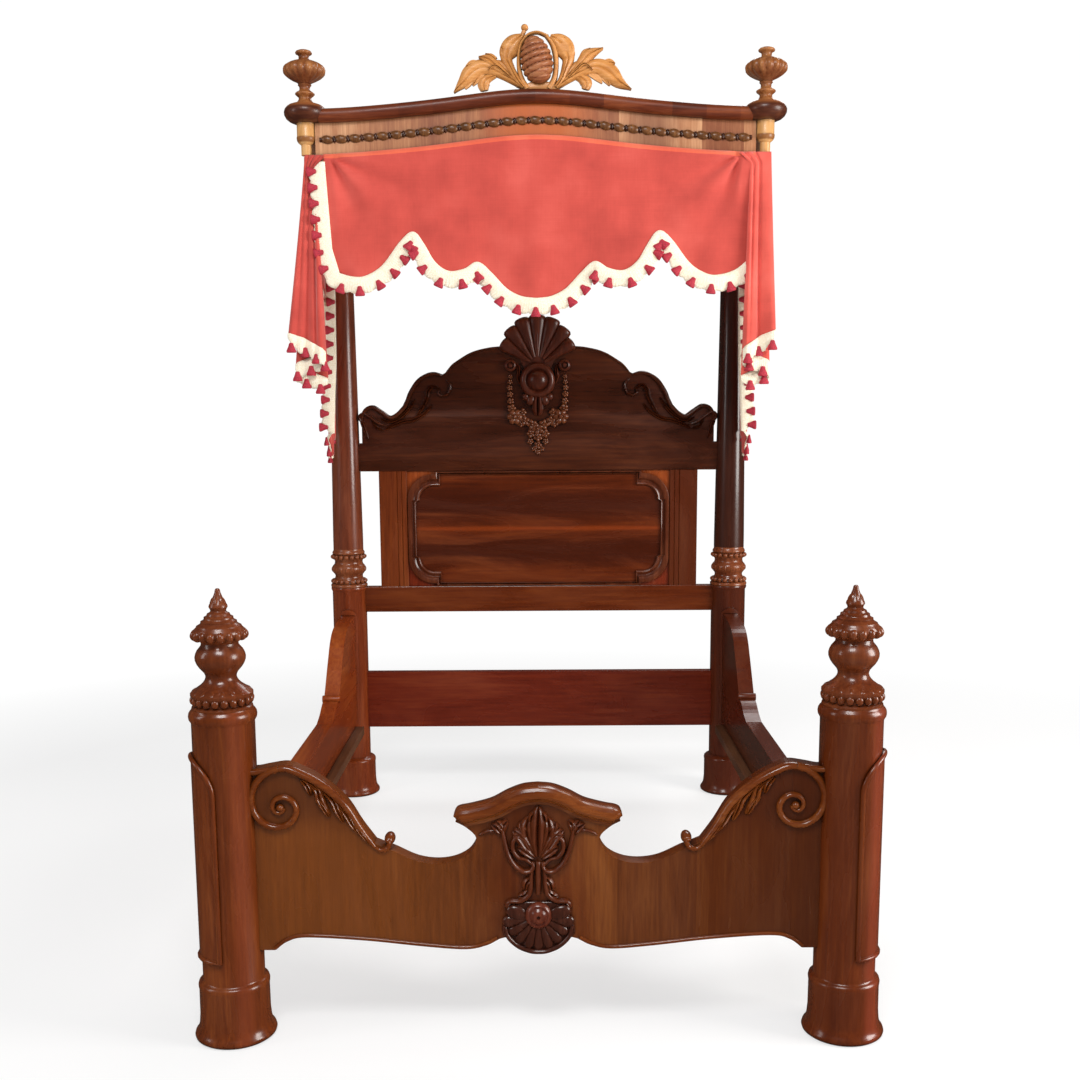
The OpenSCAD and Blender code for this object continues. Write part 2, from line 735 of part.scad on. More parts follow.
// Crest outline from the post to the shell, shares of half the width and the height
crest_half = half - crest_seat;
crest_end = crest_tenon_h / crest_h;
function crest_line() = concat(
    [[-1, 0], [-1, crest_end], [-0.97, crest_end]],
    curve([[-0.97, 0.4], [-0.965, 0.462], [-0.945, 0.515], [-0.905, 0.534], [-0.855, 0.49],
        [-0.812, 0.449], [-0.77, 0.475], [-0.731, 0.534]], 4),
    curve([[-0.712, 0.59], [-0.697, 0.646], [-0.658, 0.735], [-0.61, 0.785], [-0.564, 0.797],
        [-0.52, 0.778]], 3),
    curve([[-0.505, 0.79], [-0.47, 0.85], [-0.4375, 0.885], [-0.3665, 0.947], [-0.29, 0.981],
        [-0.2, 0.997], [0, 1]], 4));

module headboard_crest() {
    left = place(crest_line(), crest_half, crest_h, 0, crest_z);
    color(mahogany)
    translate([0, head_y, 0]) {
        board(concat(left, back(flip([for (i = [0:len(left) - 2]) left[i]]))), headboard_t);
        translate([-crest_half - tenon_l, -tenon_t / 2, crest_z + 20])
            cube([2 * (crest_half + tenon_l), tenon_t, crest_tenon_h - 40]);
        // carved volutes and ears stand on the face
        for (s = [-1, 1]) {
            translate([s * 0.6 * crest_half, -headboard_t / 2 + 1, crest_z + 0.7 * crest_h])
                rotate([90, 0, 0]) cylinder(h = 9, r = 30, $fn = smooth);
            translate([s * 0.895 * crest_half, -headboard_t / 2 + 1, crest_z + 0.42 * crest_h])
                rotate([90, 0, 0]) cylinder(h = 9, r = 34, $fn = smooth);
        }
    }
}

// Fan-shaped shell with a scalloped edge, over a boss; a rib stands on every scallop
ribs = 7;
rib_angle = 18.5;
shell_t = 12;
// Heights of the fan's hinge and of the boss below it
shell_hinge = crest_z + 0.831 * crest_h;
shell_boss = shell_hinge - 0.36 * shell_r;
function fan_r(a) = shell_r * (0.88 + 0.53 * sin(a));
module headboard_shell() {
    start = 90 - ribs * rib_angle / 2;
    color(mahogany_light)
    translate([0, head_y - headboard_t / 2, shell_hinge]) {
        board_at(-shell_t / 2, concat([for (i = [0:4 * ribs]) let (a = start + i * rib_angle / 4,
            e = fan_r(a) * (0.92 + 0.08 * sin(45 * (i % 4)))) [e * cos(a), e * sin(a)]],
            [for (q = [[-0.47, 0.2], [-0.3, -0.2], [0.3, -0.2], [0.47, 0.2]]) shell_r * q]),
            shell_t);
        for (i = [0:ribs - 1])
            let (a = start + (i + 0.5) * rib_angle)
                rotate([0, -a, 0]) translate([0.5 * shell_r, 1 - shell_t, 0])
                    leaf(0.97 * fan_r(a) - 0.5 * shell_r, 0.24 * shell_r, 7);
        translate([0, 0, shell_boss - shell_hinge]) rotate([90, 0, 0])
            rotate_extrude($fn = smooth)
                polygon(concat([[0, 0], [0.5 * shell_r, 0]], curve([[0.5 * shell_r, 8],
                    [0.45 * shell_r, 22], [0.36 * shell_r, 16], [0.27 * shell_r, 30],
                    [0.15 * shell_r, 42], [0, 46]], 3)));
        // tongue under the boss
        translate([0, 0, shell_boss - shell_hinge - 0.3 * shell_r]) rotate([0, 90, 0])
            leaf(0.7 * shell_r, 0.4 * shell_r, 14);
    }
}

// Flowers and fruit of the festoon as [x, height from the tip of the shell's tongue, radius]
festoon = [[44, 3.5, 27], [88, 22.5, 24], [21, -13.5, 22], [0, -49.5, 20], [31, -70.5, 17],
    [0, -95.5, 15], [0, -122.5, 12], [102, 64.5, 16], [108, 106.5, 14], [102, 144.5, 13]];

module headboard_festoon() {
    color(mahogany_dark)
    translate([0, head_y - headboard_t / 2, shell_boss - shell_r])
        for (p = festoon)
            for (s = p[0] > 0 ? [-1, 1] : [1])
                translate([s * p[0], 0, p[1]]) rotate([90, 0, 0])
                    rotate_extrude($fn = 24)
                        polygon(concat([[0, 0]], arc(0, 0, p[2], 0, 90, 3)));
}

module headboard_stile_left() {
    color(mahogany)
        translate([-stile_x, head_y - headboard_t / 2, panel_z])
            difference() {
                cube([stile_w, headboard_t, panel_h]);
                // groove for the panel
                translate([stile_w - 12, headboard_t / 2 - panel_t / 2 - fit, -1])
                    cube([13, panel_t + 2 * fit, panel_h + 2]);
            }
}

module headboard_stile_right() { right_side() headboard_stile_left(); }

module headboard_panel() {
    color(mahogany_light)
        translate([-opening_x - 12 + fit, head_y - panel_t / 2, panel_z])
            cube([2 * (opening_x + 12 - fit), panel_t, panel_h]);
}

// Raised moulding on the panel: rounded corners that step into thin bands above and below
moulding_gap = 2;
moulding_w = 40;
moulding_thin = 12;
moulding_r = 100;
moulding_step = 10;
// Outline reached from the middle of the right side round to the middle of the top, then turned
// into the other three corners; g is the way in from the outer edge, from 0 to 1
function moulding_line(g) = let (w = opening_x - moulding_gap, h = panel_h / 2 - moulding_gap,
    x = w - moulding_r, q = concat(
        arc(x, h - moulding_step - moulding_r, moulding_r - g * moulding_w, 0, 90, 6),
        [[x - 8 - 18 * g, h - moulding_step - g * moulding_w],
        [x - 8 - 18 * g, h - g * moulding_thin]]),
    n = len(q) - 1)
    concat(q, [for (i = [0:n]) [-q[n - i][0], q[n - i][1]]], [for (p = q) -p],
        [for (i = [0:n]) [q[n - i][0], -q[n - i][1]]]);

module panel_moulding() {
    color(mahogany_dark)
    translate([0, head_y - panel_t / 2 - 6, panel_z + panel_h / 2])
        difference() {
            board(moulding_line(0), 12);
            board(moulding_line(1), 13);
        }
}

module headboard_bottom_rail() {
    w = half - head_seat;
    color(mahogany)
    translate([0, head_y, bottom_rail_z]) {
        translate([-w, -headboard_t / 2, 0]) cube([2 * w, headboard_t, bottom_rail_h]);
        translate([-w - tenon_l, -tenon_t / 2, 0.15 * bottom_rail_h])
            cube([2 * (w + tenon_l), tenon_t, 0.7 * bottom_rail_h]);
    }
}

module head_cross_rail() {
    w = half - head_seat;
    color(mahogany_light)
    translate([0, head_y, cross_rail_z]) {
        translate([-w, -headboard_t / 2, 0]) cube([2 * w, headboard_t, cross_rail_h]);
        translate([-w - tenon_l, -tenon_t / 2, 0.15 * cross_rail_h])
            cube([2 * (w + tenon_l), tenon_t, 0.7 * cross_rail_h]);
    }
}

// ---------------------------------------------------------------- canopy frame

// The front rises in the middle; u runs from -1 to 1 between the corner blocks
function rise_at(u) = front_rise * (0.5 + 0.5 * cos(180 * abs(u))) * (1 - 0.18 * pow(sin(180 * u), 2));

module canopy_back_rail() {
    w = half - canopy_seat - fit;
    color(mahogany_dark)
        translate([-w, head_y - frieze_t / 2, canopy_z])
            cube([2 * w, frieze_t, frieze_h]);
}

front_half = half - drum_d / 2;
// Where the side boards meet the columns
side_back = head_y - upper_r(canopy_z) - fit;
front_steps = 28;

// Outline between two heights that both follow the rise
function front_strip(z0, z1) = concat(
    [for (i = [0:front_steps]) let (u = -1 + 2 * i / front_steps) [u * front_half, z0 + rise_at(u)]],
    [for (i = [front_steps:-1:0]) let (u = -1 + 2 * i / front_steps) [u * front_half, z1 + rise_at(u)]]);

module canopy_frieze_front() {
    color(veneer)
        translate([0, canopy_y, 0])
            board(front_strip(canopy_z, frieze_top), frieze_t);
}

module side_board() {
    translate([-half - frieze_t / 2, side_front, canopy_z])
        cube([frieze_t, side_back - side_front, frieze_h]);
}

module canopy_frieze_left() { color(veneer) side_board(); }

module canopy_frieze_right() { color(veneer) right_side() side_board(); }

// Layers of the cornice as shares of its height and depth; each one follows the rise
cornice_steps = [[0, 0.62], [0.14, 0.84], [0.3, 0.97], [0.5, 1], [0.7, 0.92], [0.86, 0.72], [1, 0]];

module cornice_front() {
    back_y = 0.31 * cornice_d;
    color(mahogany)
    translate([0, canopy_y, frieze_top])
        difference() {
            for (i = [0:len(cornice_steps) - 2])
                let (d = cornice_d * cornice_steps[i][1])
                    board_at(back_y - d / 2, front_strip(cornice_steps[i][0] * cornice_h,
                        cornice_steps[i + 1][0] * cornice_h), d);
            // the ends are hollowed round the corner discs
            for (x = [-half, half])
                translate([x, 0, -1])
                    cylinder(h = cornice_h + front_rise, d = disc_d + 2 * fit, $fn = smooth);
        }
}

function cornice_profile() = let (d = cornice_d, h = cornice_h) concat(
    [[-0.31 * d, 0], [0.31 * d, 0]],
    curve([[0.31 * d, 0], [0.6 * d, 0.25 * h], [0.69 * d, 0.5 * h], [0.6 * d, 0.8 * h],
        [0.4 * d, h]], 3), [[-0.31 * d, h]]);

module side_cornice() {
    translate([-half, side_back, frieze_top])
        rotate([90, 0, 0])
            linear_extrude(side_back - canopy_y - disc_d / 2 - fit)
                polygon(flip(cornice_profile()));
}

module cornice_left() { color(mahogany) side_cornice(); }

module cornice_right() { color(mahogany) right_side() side_cornice(); }

// Carved beading applied along the front frieze, at this height on the board
bead_z = 51;
module frieze_beading() {
    n = floor(front_half * 2 / bead_l) - 1;
    color(mahogany_dark)
        for (i = [0:n - 1])
            let (x = (i - (n - 1) / 2) * bead_l, u = x / front_half,
                slope = atan((rise_at(u + 0.01) - rise_at(u - 0.01)) / (0.02 * front_half)))
                translate([x, canopy_y - frieze_t / 2, canopy_z + bead_z + rise_at(u)])
                    rotate([0, -slope, 0]) rotate([90, 0, 0])
                        linear_extrude(7)
                            polygon(curve([[-0.48 * bead_l, 0], [0, 8], [0.48 * bead_l, 0],
                                [0, -8], [-0.48 * bead_l, 0]], 3));
}

// Boarded ceiling inside the canopy frame, lined below
module canopy_ceiling() {
    color(linen)
        difference() {
            translate([-half + frieze_t / 2, canopy_y + frieze_t / 2, frieze_top - 14])
                cube([post_spacing - frieze_t, canopy_d - frieze_t, 12]);
            // cut round the corner drums and the columns
            for (s = [-half, half]) {
                translate([s, canopy_y, canopy_z]) cylinder(h = frieze_h, d = drum_d + 2 * fit, $fn = smooth);
                translate([s, head_y, canopy_z])
                    cylinder(h = frieze_h, r = upper_r(canopy_z) + fit, $fn = smooth);
            }
        }
}

// Neck, cup, pale drum and disc at a front corner, turned in one piece
module corner_block_left() {
    r = disc_d / 2;
    d = drum_d / 2;
    h = frieze_h;
    // the disc lies on the frieze boards
    disc = h + fit;
    disc_h = block_h - disc;
    color(gilt_oak)
    translate([-half, canopy_y, canopy_z])
    difference() {
        turned(concat([[0, 0.17 * h], [0.4 * d, 0.17 * h], [0.44 * d, 0.37 * h]],
            curve([[0.5 * d, 0.38 * h], [0.82 * d, 0.45 * h], [0.98 * d, 0.57 * h]], 3),
            [[d, 0.6 * h], [d, disc]],
            curve([[0.66 * r, disc + 0.01 * disc_h], [0.92 * r, disc + 0.22 * disc_h],
                [r, disc + 0.45 * disc_h], [0.93 * r, disc + 0.71 * disc_h], [0.7 * r, block_h]], 3),
            [[0, block_h]]));
        dowel_hole(block_h);
    }
}

module corner_block_right() { right_side() corner_block_left(); }

// Gadrooned urn on a slender neck, with a small cap
module corner_finial_left() {
    r = urn_d / 2;
    h = urn_h;
    lobes = 14;
    color(mahogany_light)
    translate([-half, canopy_y, block_top]) {
        turned(concat([[0, -dowel_l], [dowel_d / 2, -dowel_l], [dowel_d / 2, 0], [0.46 * r, 0]],
            curve([[0.4 * r, 0.05 * h], [0.3 * r, 0.12 * h], [0.42 * r, 0.17 * h],
                [0.46 * r, 0.2 * h], [0.34 * r, 0.25 * h], [0.3 * r, 0.32 * h]], 3),
            curve([[0.36 * r, 0.36 * h], [0.7 * r, 0.45 * h], [0.88 * r, 0.57 * h],
                [0.8 * r, 0.7 * h], [0.42 * r, 0.79 * h]], 2),
            curve([[0.22 * r, 0.83 * h], [0.22 * r, 0.88 * h], [0.35 * r, 0.92 * h],
                [0.36 * r, 0.96 * h], [0.2 * r, h]], 2), [[0, h]]));
        for (i = [0:lobes - 1])
            rotate([0, 0, i * 360 / lobes])
                translate([0.68 * r, 0, 0.58 * h]) rotate([0, 24, 0])
                    lobe(0.72 * PI * r / lobes, 0.38 * h);
    }
}

module corner_finial_right() { right_side() corner_finial_left(); }

crest_base = frieze_top + cornice_h + front_rise;

// Scrolled acanthus on one side of the nut, shares of half the width and of the height
function acanthus() = curve([[0, -0.02], [0.16, -0.02], [0.24, 0.1], [0.42, 0.14], [0.6, 0.18],
    [0.78, 0.04], [0.9, -0.1], [1, -0.1], [0.98, 0.04], [0.87, 0.22], [0.74, 0.38], [0.6, 0.52],
    [0.5, 0.44], [0.38, 0.5], [0.28, 0.44], [0.24, 0.62], [0.15, 0.86], [0.08, 0.94], [0.06, 1],
    [0, 1]], 3);

module crest_leaves() {
    w = leaves_w / 2;
    t = 26;
    color(gilt_oak)
    translate([0, canopy_y, 0])
        difference() {
            for (s = [-1, 1])
                board([for (q = acanthus()) [s * q[0] * w, crest_base + q[1] * leaves_h]], t);
            // the leaves stand on the crown of the cornice
            board(front_strip(frieze_top, frieze_top + cornice_h), t + 2);
            // pierced eyes
            for (s = [-1, 1])
                translate([s * 0.5 * w, t, crest_base + 0.4 * leaves_h]) rotate([90, 0, 0])
                    cylinder(h = 2 * t, r = 0.07 * leaves_h, $fn = smooth);
            crest_nut_body(fit);
        }
}

// Egg-shaped body of the nut, grown by g, held in a hollow of the leaves
module crest_nut_body(g) {
    translate([0, -14, crest_base + 0.47 * leaves_h])
        rotate_extrude($fn = smooth)
            polygon([for (i = [0:10]) let (a = -90 + 18 * i)
                [max((0.31 * nut_h + g) * cos(a) * (1 - 0.12 * sin(a)), 0), (nut_h / 2 + g) * sin(a)]]);
}

module crest_nut() {
    color(walnut)
    translate([0, canopy_y, 0])
        crest_nut_body(0);
}

// ---------------------------------------------------------------- drapery

// Lower edge of the front valance from the middle (0) to the side (1), as shares of its drop
valance_edge = [[0, 1], [0.07, 0.985], [0.14, 0.93], [0.21, 0.82], [0.27, 0.746], [0.33, 0.795],
    [0.405, 0.81], [0.47, 0.745], [0.52, 0.62], [0.565, 0.538], [0.62, 0.6], [0.7, 0.755],
    [0.77, 0.83], [0.83, 0.848], [0.92, 0.81], [1, 0.71]];
// Lower edge of a side valance from the front corner (0) to the head post (1), the same way
side_edge = [[0, 0.9], [0.12, 0.86], [0.26, 0.7], [0.36, 0.62], [0.48, 0.72], [0.6, 0.88],
    [0.66, 0.9], [0.7, 1.5]];

// A closed sheet from a grid of points; the back face lies t along dir
module sheet(grid, t, dir) {
    n = len(grid) - 1;
    m = len(grid[0]) - 1;
    front = [for (r = grid) for (p = r) p];
    rear = [for (p = front) p + t * dir];
    k = (n + 1) * (m + 1);
    function at(i, j) = i * (m + 1) + j;
    faces = concat(
        [for (i = [0:n - 1]) for (j = [0:m - 1]) [at(i, j), at(i + 1, j), at(i + 1, j + 1)]],
        [for (i = [0:n - 1]) for (j = [0:m - 1]) [at(i, j), at(i + 1, j + 1), at(i, j + 1)]],
        [for (i = [0:n - 1]) for (j = [0:m - 1]) [k + at(i, j), k + at(i + 1, j + 1), k + at(i + 1, j)]],
        [for (i = [0:n - 1]) for (j = [0:m - 1]) [k + at(i, j), k + at(i, j + 1), k + at(i + 1, j + 1)]],
        [for (i = [0:n - 1]) each [[at(i, 0), k + at(i, 0), k + at(i + 1, 0)],
            [at(i, 0), k + at(i + 1, 0), at(i + 1, 0)]]],
        [for (i = [0:n - 1]) each [[at(i, m), k + at(i + 1, m), k + at(i, m)],
            [at(i, m), at(i + 1, m), k + at(i + 1, m)]]],
        [for (j = [0:m - 1]) each [[at(0, j), k + at(0, j + 1), k + at(0, j)],
            [at(0, j), at(0, j + 1), k + at(0, j + 1)]]],
        [for (j = [0:m - 1]) each [[at(n, j), k + at(n, j), k + at(n, j + 1)],
            [at(n, j), k + at(n, j + 1), at(n, j + 1)]]]);
    polyhedron(concat(front, rear), faces);
}

// Cloth hangs in front of the frieze, clear of it by a hair
cloth_y = canopy_y - frieze_t / 2 - cloth_t - 0.3;
cloth_x = half + frieze_t / 2 + 0.3;
cloth_head = 15;
front_cols = 52;
front_rows = 6;

// Point of the front valance; v runs from the top hem (0) to the lower edge (1)
function front_point(u, v, drop) = let (z = canopy_z + cloth_head + rise_at(u) * (1 - v)
    - v * drop)
    [u * (half - 34), cloth_y - v * (fold * (0.35 + 0.4 * cos(u * 900)) + 4), z];
function front_drop(u) = valance_drop * lookup(abs(u), valance_edge);

module valance_front() {
    color(coral)
        sheet([for (i = [0:front_cols]) let (u = -1 + 2 * i / front_cols)
            [for (j = [0:front_rows]) front_point(u, j / front_rows, front_drop(u))]],
            cloth_t, [0, 1, 0]);
}

module fringe_front() {
    color(cream)
        sheet([for (i = [0:front_cols]) let (u = -1 + 2 * i / front_cols)
            let (p = front_point(u, 1, front_drop(u)))
            [p + [0, 0, -0.3], p + [0, 0, -fringe_h]]],
            cloth_t, [0, 1, 0]);
}

side_cols = 26;
side_rows = 5;
side_start = canopy_y + 24;
side_run = head_y - upper_r(canopy_z - tail_drop) - 2 - side_start;

// The side valance ends in a long tail beside the head post
function side_drop(u) = u < 0.7 ? valance_drop * lookup(u, side_edge)
    : tail_drop * (0.94 + 0.06 * cos(600 * (u - 0.7)));
function side_point(u, v) = [-cloth_x - cloth_t - v * fold * (0.5 + 0.5 * cos(u * 2160)),
    side_start + u * side_run, canopy_z + cloth_head - v * side_drop(u)];

module valance_left() {
    color(coral)
        sheet([for (j = [0:side_rows])
            [for (i = [0:side_cols]) side_point(i / side_cols, j / side_rows)]],
            cloth_t, [1, 0, 0]);
}

module valance_right() { right_side() valance_left(); }

module side_fringe() {
    sheet([for (j = [0, 1])
        [for (i = [0:side_cols]) side_point(i / side_cols, 1)
            + [0, 0, j == 0 ? -0.3 : -fringe_h]]], cloth_t, [1, 0, 0]);
}

module fringe_sides() {
    color(cream) {
        side_fringe();
        right_side() side_fringe();
    }
}

fall_cols = 24;
fall_rows = 6;

// The gathered fall at a front corner widens as it drops, its hem slants down to the middle
function fall_point(u, v) = let (w = fall_w * (0.42 + 0.58 * v),
    drop = fall_drop * (1 - 0.1 * cos(180 * u) + 0.012 * cos(u * 1080)))
    [-half + 17 - 30 * v + w * (u - 0.5),
        cloth_y - cloth_t - 0.3 - v * (fold * (1 + cos(u * 1080)) + 24),
        canopy_z + cloth_head - v * drop];

module front_fall_left() {
    color(coral)
        sheet([for (i = [0:fall_cols])
            [for (j = [0:fall_rows]) fall_point(i / fall_cols, j / fall_rows)]],
            cloth_t, [0, 1, 0]);
}

module front_fall_right() { right_side() front_fall_left(); }

module fall_fringe() {
    sheet([for (i = [0:fall_cols])
        [for (d = [0.3, fringe_h]) fall_point(i / fall_cols, 1) - [0, 0, d]]],
        cloth_t, [0, 1, 0]);
}

module fringe_falls() {
    color(cream) {
        fall_fringe();
        right_side() fall_fringe();
    }
}

// ---------------------------------------------------------------- nodes

foot_post_left();
foot_post_right();
foot_finial_left();
foot_finial_right();
foot_post_panel_left();
foot_post_panel_right();
footboard();
footboard_cap();
footboard_scroll_left();
footboard_scroll_right();
footboard_carving();
footboard_roundel();
side_rail_left();
side_rail_right();
wing_bracket_left();
wing_bracket_right();
rail_cleat_left();
rail_cleat_right();
rail_hooks();
hook_keepers();
head_post_left();
head_post_right();
head_collar_left();
head_collar_right();
upper_post_left();
upper_post_right();
head_post_bead_left();
head_post_bead_right();
headboard_crest();
headboard_shell();
headboard_festoon();
headboard_stile_left();
headboard_stile_right();
headboard_panel();
panel_moulding();
headboard_bottom_rail();
head_cross_rail();
canopy_back_rail();
canopy_frieze_front();
canopy_frieze_left();
canopy_frieze_right();
cornice_front();
cornice_left();
cornice_right();
frieze_beading();
canopy_ceiling();
corner_block_left();
corner_block_right();
corner_finial_left();
corner_finial_right();
crest_leaves();
crest_nut();
valance_front();
valance_left();
valance_right();
front_fall_left();
front_fall_right();
fringe_front();
fringe_falls();
fringe_sides();
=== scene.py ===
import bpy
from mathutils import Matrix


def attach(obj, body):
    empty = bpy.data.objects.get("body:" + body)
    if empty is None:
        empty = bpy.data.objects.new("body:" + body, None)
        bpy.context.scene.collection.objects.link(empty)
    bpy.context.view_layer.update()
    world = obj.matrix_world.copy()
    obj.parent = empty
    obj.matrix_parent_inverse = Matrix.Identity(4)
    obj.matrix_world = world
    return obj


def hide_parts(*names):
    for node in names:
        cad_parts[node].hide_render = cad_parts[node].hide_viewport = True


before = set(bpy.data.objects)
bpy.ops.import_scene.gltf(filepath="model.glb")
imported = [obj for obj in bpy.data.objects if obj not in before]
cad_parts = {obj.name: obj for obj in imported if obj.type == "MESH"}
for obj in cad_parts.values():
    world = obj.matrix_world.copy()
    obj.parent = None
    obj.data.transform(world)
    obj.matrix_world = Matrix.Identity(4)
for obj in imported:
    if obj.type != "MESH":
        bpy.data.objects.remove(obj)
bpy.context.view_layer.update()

import math
import bpy
import bmesh
from mathutils import Euler, Matrix, Vector

# places in millimetres: foot posts, head posts, canopy front, half the width between posts
mm = 0.001
footY, headY, canopyY = -1000, 1000, 360
halfSpan = 745


# small helpers

def linearColour(text):  # sRGB hex to linear
    parts = [int(text[i:i + 2], 16) / 255 for i in (1, 3, 5)]
    return [c / 12.92 if c <= 0.04045 else ((c + 0.055) / 1.055) ** 2.4 for c in parts] + [1]


def addNode(tree, kind, inputs=None, stops=None, **settings):
    node = tree.nodes.new("ShaderNode" + kind)
    for key, value in settings.items():
        setattr(node, key, value)
    for key, value in (inputs or {}).items():
        if isinstance(value, bpy.types.NodeSocket):
            tree.links.new(value, node.inputs[key])
        else:
            node.inputs[key].default_value = value
    if stops:
        ramp = node.color_ramp
        ramp.elements[0].position, ramp.elements[1].position = stops[0][0], stops[-1][0]
        for place, colour in stops[1:-1]:
            ramp.elements.new(place)
        for element, (place, colour) in zip(ramp.elements, stops):
            element.color = linearColour(colour) if isinstance(colour, str) else [colour] * 3 + [1]
    return node


def smoothCurve(keys, steps=4):  # Catmull-Rom through key points
    points = []
    for i in range(len(keys) - 1):
        a, b, c, d = (Vector(keys[k]) for k in (max(i - 1, 0), i, i + 1, min(i + 2, len(keys) - 1)))
        for j in range(steps):
            t = j / steps
            points.append(0.5 * (2 * b + (c - a) * t + (2 * a - 5 * b + 4 * c - d) * t * t
                                 + (3 * b - a - 3 * c + d) * t ** 3))
    return points + [Vector(keys[-1])]


def between(table, x):  # straight-line lookup in [(x, y), ...]
    for (x0, y0), (x1, y1) in zip(table, table[1:]):
        if x <= x1:
            return y0 + (y1 - y0) * max(x - x0, 0) / (x1 - x0)
    return table[-1][1]


def onBoard(points, y):  # (x, z) points set up at depth y
    return [(p[0], y, p[1]) for p in points]


def turned(profile, steps=96):
    bm = bmesh.new()
    verts = [bm.verts.new((x, 0, z)) for x, z in profile]
    edges = [bm.edges.new(pair) for pair in zip(verts, verts[1:])]
    bmesh.ops.spin(bm, geom=verts + edges, cent=(0, 0, 0), axis=(0, 0, 1), angle=math.tau,
                   steps=steps, use_merge=True, use_duplicate=False)
    bmesh.ops.remove_doubles(bm, verts=bm.verts, dist=0.02)
    bmesh.ops.recalc_face_normals(bm, faces=bm.faces)
    return bm


def slab(outline, y0, y1, bevel=0, segments=2, bothRims=False):
    bm = bmesh.new()
    outline = [p for i, p in enumerate(outline) if math.dist(p, outline[i - 1]) > 0.3]
    face = bm.faces.new([bm.verts.new((x, y0, z)) for x, z in outline])
    pushed = bmesh.ops.extrude_face_region(bm, geom=[face])["geom"]
    moved = [g for g in pushed if isinstance(g, bmesh.types.BMVert)]
    bmesh.ops.translate(bm, verts=moved, vec=(0, y1 - y0, 0))
    if bevel:
        rims = [e for e in bm.edges if all(abs(v.co.y - y0) < 1e-4 for v in e.verts)
                or bothRims and all(abs(v.co.y - y1) < 1e-4 for v in e.verts)]
        bmesh.ops.bevel(bm, geom=rims, offset=bevel, segments=segments, profile=0.5,
                        affect="EDGES", material=-1)
    return bm


def box(size, centre, bevel=2, segments=2):
    bm = bmesh.new()
    bmesh.ops.create_cube(bm, size=1)
    bmesh.ops.scale(bm, verts=bm.verts, vec=size)
    if bevel:
        bmesh.ops.bevel(bm, geom=bm.edges[:], offset=bevel, segments=segments, profile=0.5,
                        affect="EDGES", material=-1)
    bmesh.ops.translate(bm, verts=bm.verts, vec=centre)
    return bm


def ball(centre, radii, turn=(0, 0, 0), u=12, v=8):
    bm = bmesh.new()
    bmesh.ops.create_uvsphere(bm, u_segments=u, v_segments=v, radius=1)
    bmesh.ops.scale(bm, verts=bm.verts, vec=radii)
    bmesh.ops.rotate(bm, verts=bm.verts, cent=(0, 0, 0), matrix=Euler(turn).to_matrix())
    bmesh.ops.translate(bm, verts=bm.verts, vec=centre)
    return bm


def ring(count, radius, z, radii, tilt=0, shift=0, u=12, v=8):  # balls set round a turned piece
    angles = [math.tau * (i + shift) / count for i in range(count)]
    return [ball((radius * math.cos(a), radius * math.sin(a), z), radii, (0, tilt, a), u, v)
            for a in angles]


# cross sections for sweeps: a across the strand, b away from the board
roundSection = [(math.cos(math.pi * i / 8), math.sin(math.pi * i / 8)) for i in range(9)] \
    + [(-1, -0.4), (1, -0.4)]
leafSection = [(1, -0.2), (1, 0.2), (0.72, 0.7), (0.42, 0.95), (0.16, 0.72), (0, 0.42), (-0.16, 0.72),
               (-0.42, 0.95), (-0.72, 0.7), (-1, 0.2), (-1, -0.2)]
tubeSection = [(math.cos(math.pi * i / 6), math.sin(math.pi * i / 6)) for i in range(12)]


def sweep(section, path, width, height, normal=(0, -1, 0), closed=False):
    points = [Vector(p) for p in path]
    count = len(points)

    def pick(value, i):
        return value[i] if isinstance(value, (list, tuple)) else value

    def station(i):
        i %= count
        before = points[i - 1] if closed or i else points[0]
        after = points[(i + 1) % count] if closed or i < count - 1 else points[-1]
        along = (after - before).normalized()
        out = Vector(normal(points[i]) if callable(normal) else normal).normalized()
        side = along.cross(out).normalized()
        out = side.cross(along).normalized()
        w, h = max(pick(width, i), 0.02), max(pick(height, i), 0.02)
        return Matrix((
            (side.x * w, out.x * h, along.x, points[i].x),
            (side.y * w, out.y * h, along.y, points[i].y),
            (side.z * w, out.z * h, along.z, points[i].z),
            (0, 0, 0, 1)))

    bm = bmesh.new()
    here = station(0)
    face = bm.faces.new([bm.verts.new(here @ Vector((a, b, 0))) for a, b in section])
    for i in range(1, count + (1 if closed else 0)):
        behind = face
        made = bmesh.ops.extrude_face_region(bm, geom=[behind])["geom"]
        face = next(g for g in made if isinstance(g, bmesh.types.BMFace))
        if i > 1:  # only the first face stays, as the end of the strand
            bmesh.ops.delete(bm, geom=[behind], context="FACES_ONLY")
        there = station(i)
        bmesh.ops.transform(bm, matrix=there @ here.inverted(), verts=list(face.verts))
        here = there
    if closed:
        caps = [f for f in bm.faces if len(f.verts) == len(section)]
        bmesh.ops.delete(bm, geom=caps, context="FACES_ONLY")
        bmesh.ops.remove_doubles(bm, verts=bm.verts, dist=0.05)
    bmesh.ops.recalc_face_normals(bm, faces=bm.faces)
    return bm


def strand(points, width, height, y, section=roundSection, steps=5, tip=0.15, tail=0.15):
    line = smoothCurve(points, steps)
    last = len(line) - 1
    swell = [tip + (1 - tip) * min(1, 3 * i / last) ** 0.6 if i < last / 3 else
             tail + (1 - tail) * min(1, 3 * (last - i) / last) ** 0.6 if i > last * 2 / 3 else 1
             for i in range(last + 1)]
    return sweep(section, onBoard(line, y), [width * s for s in swell], [height * s for s in swell])


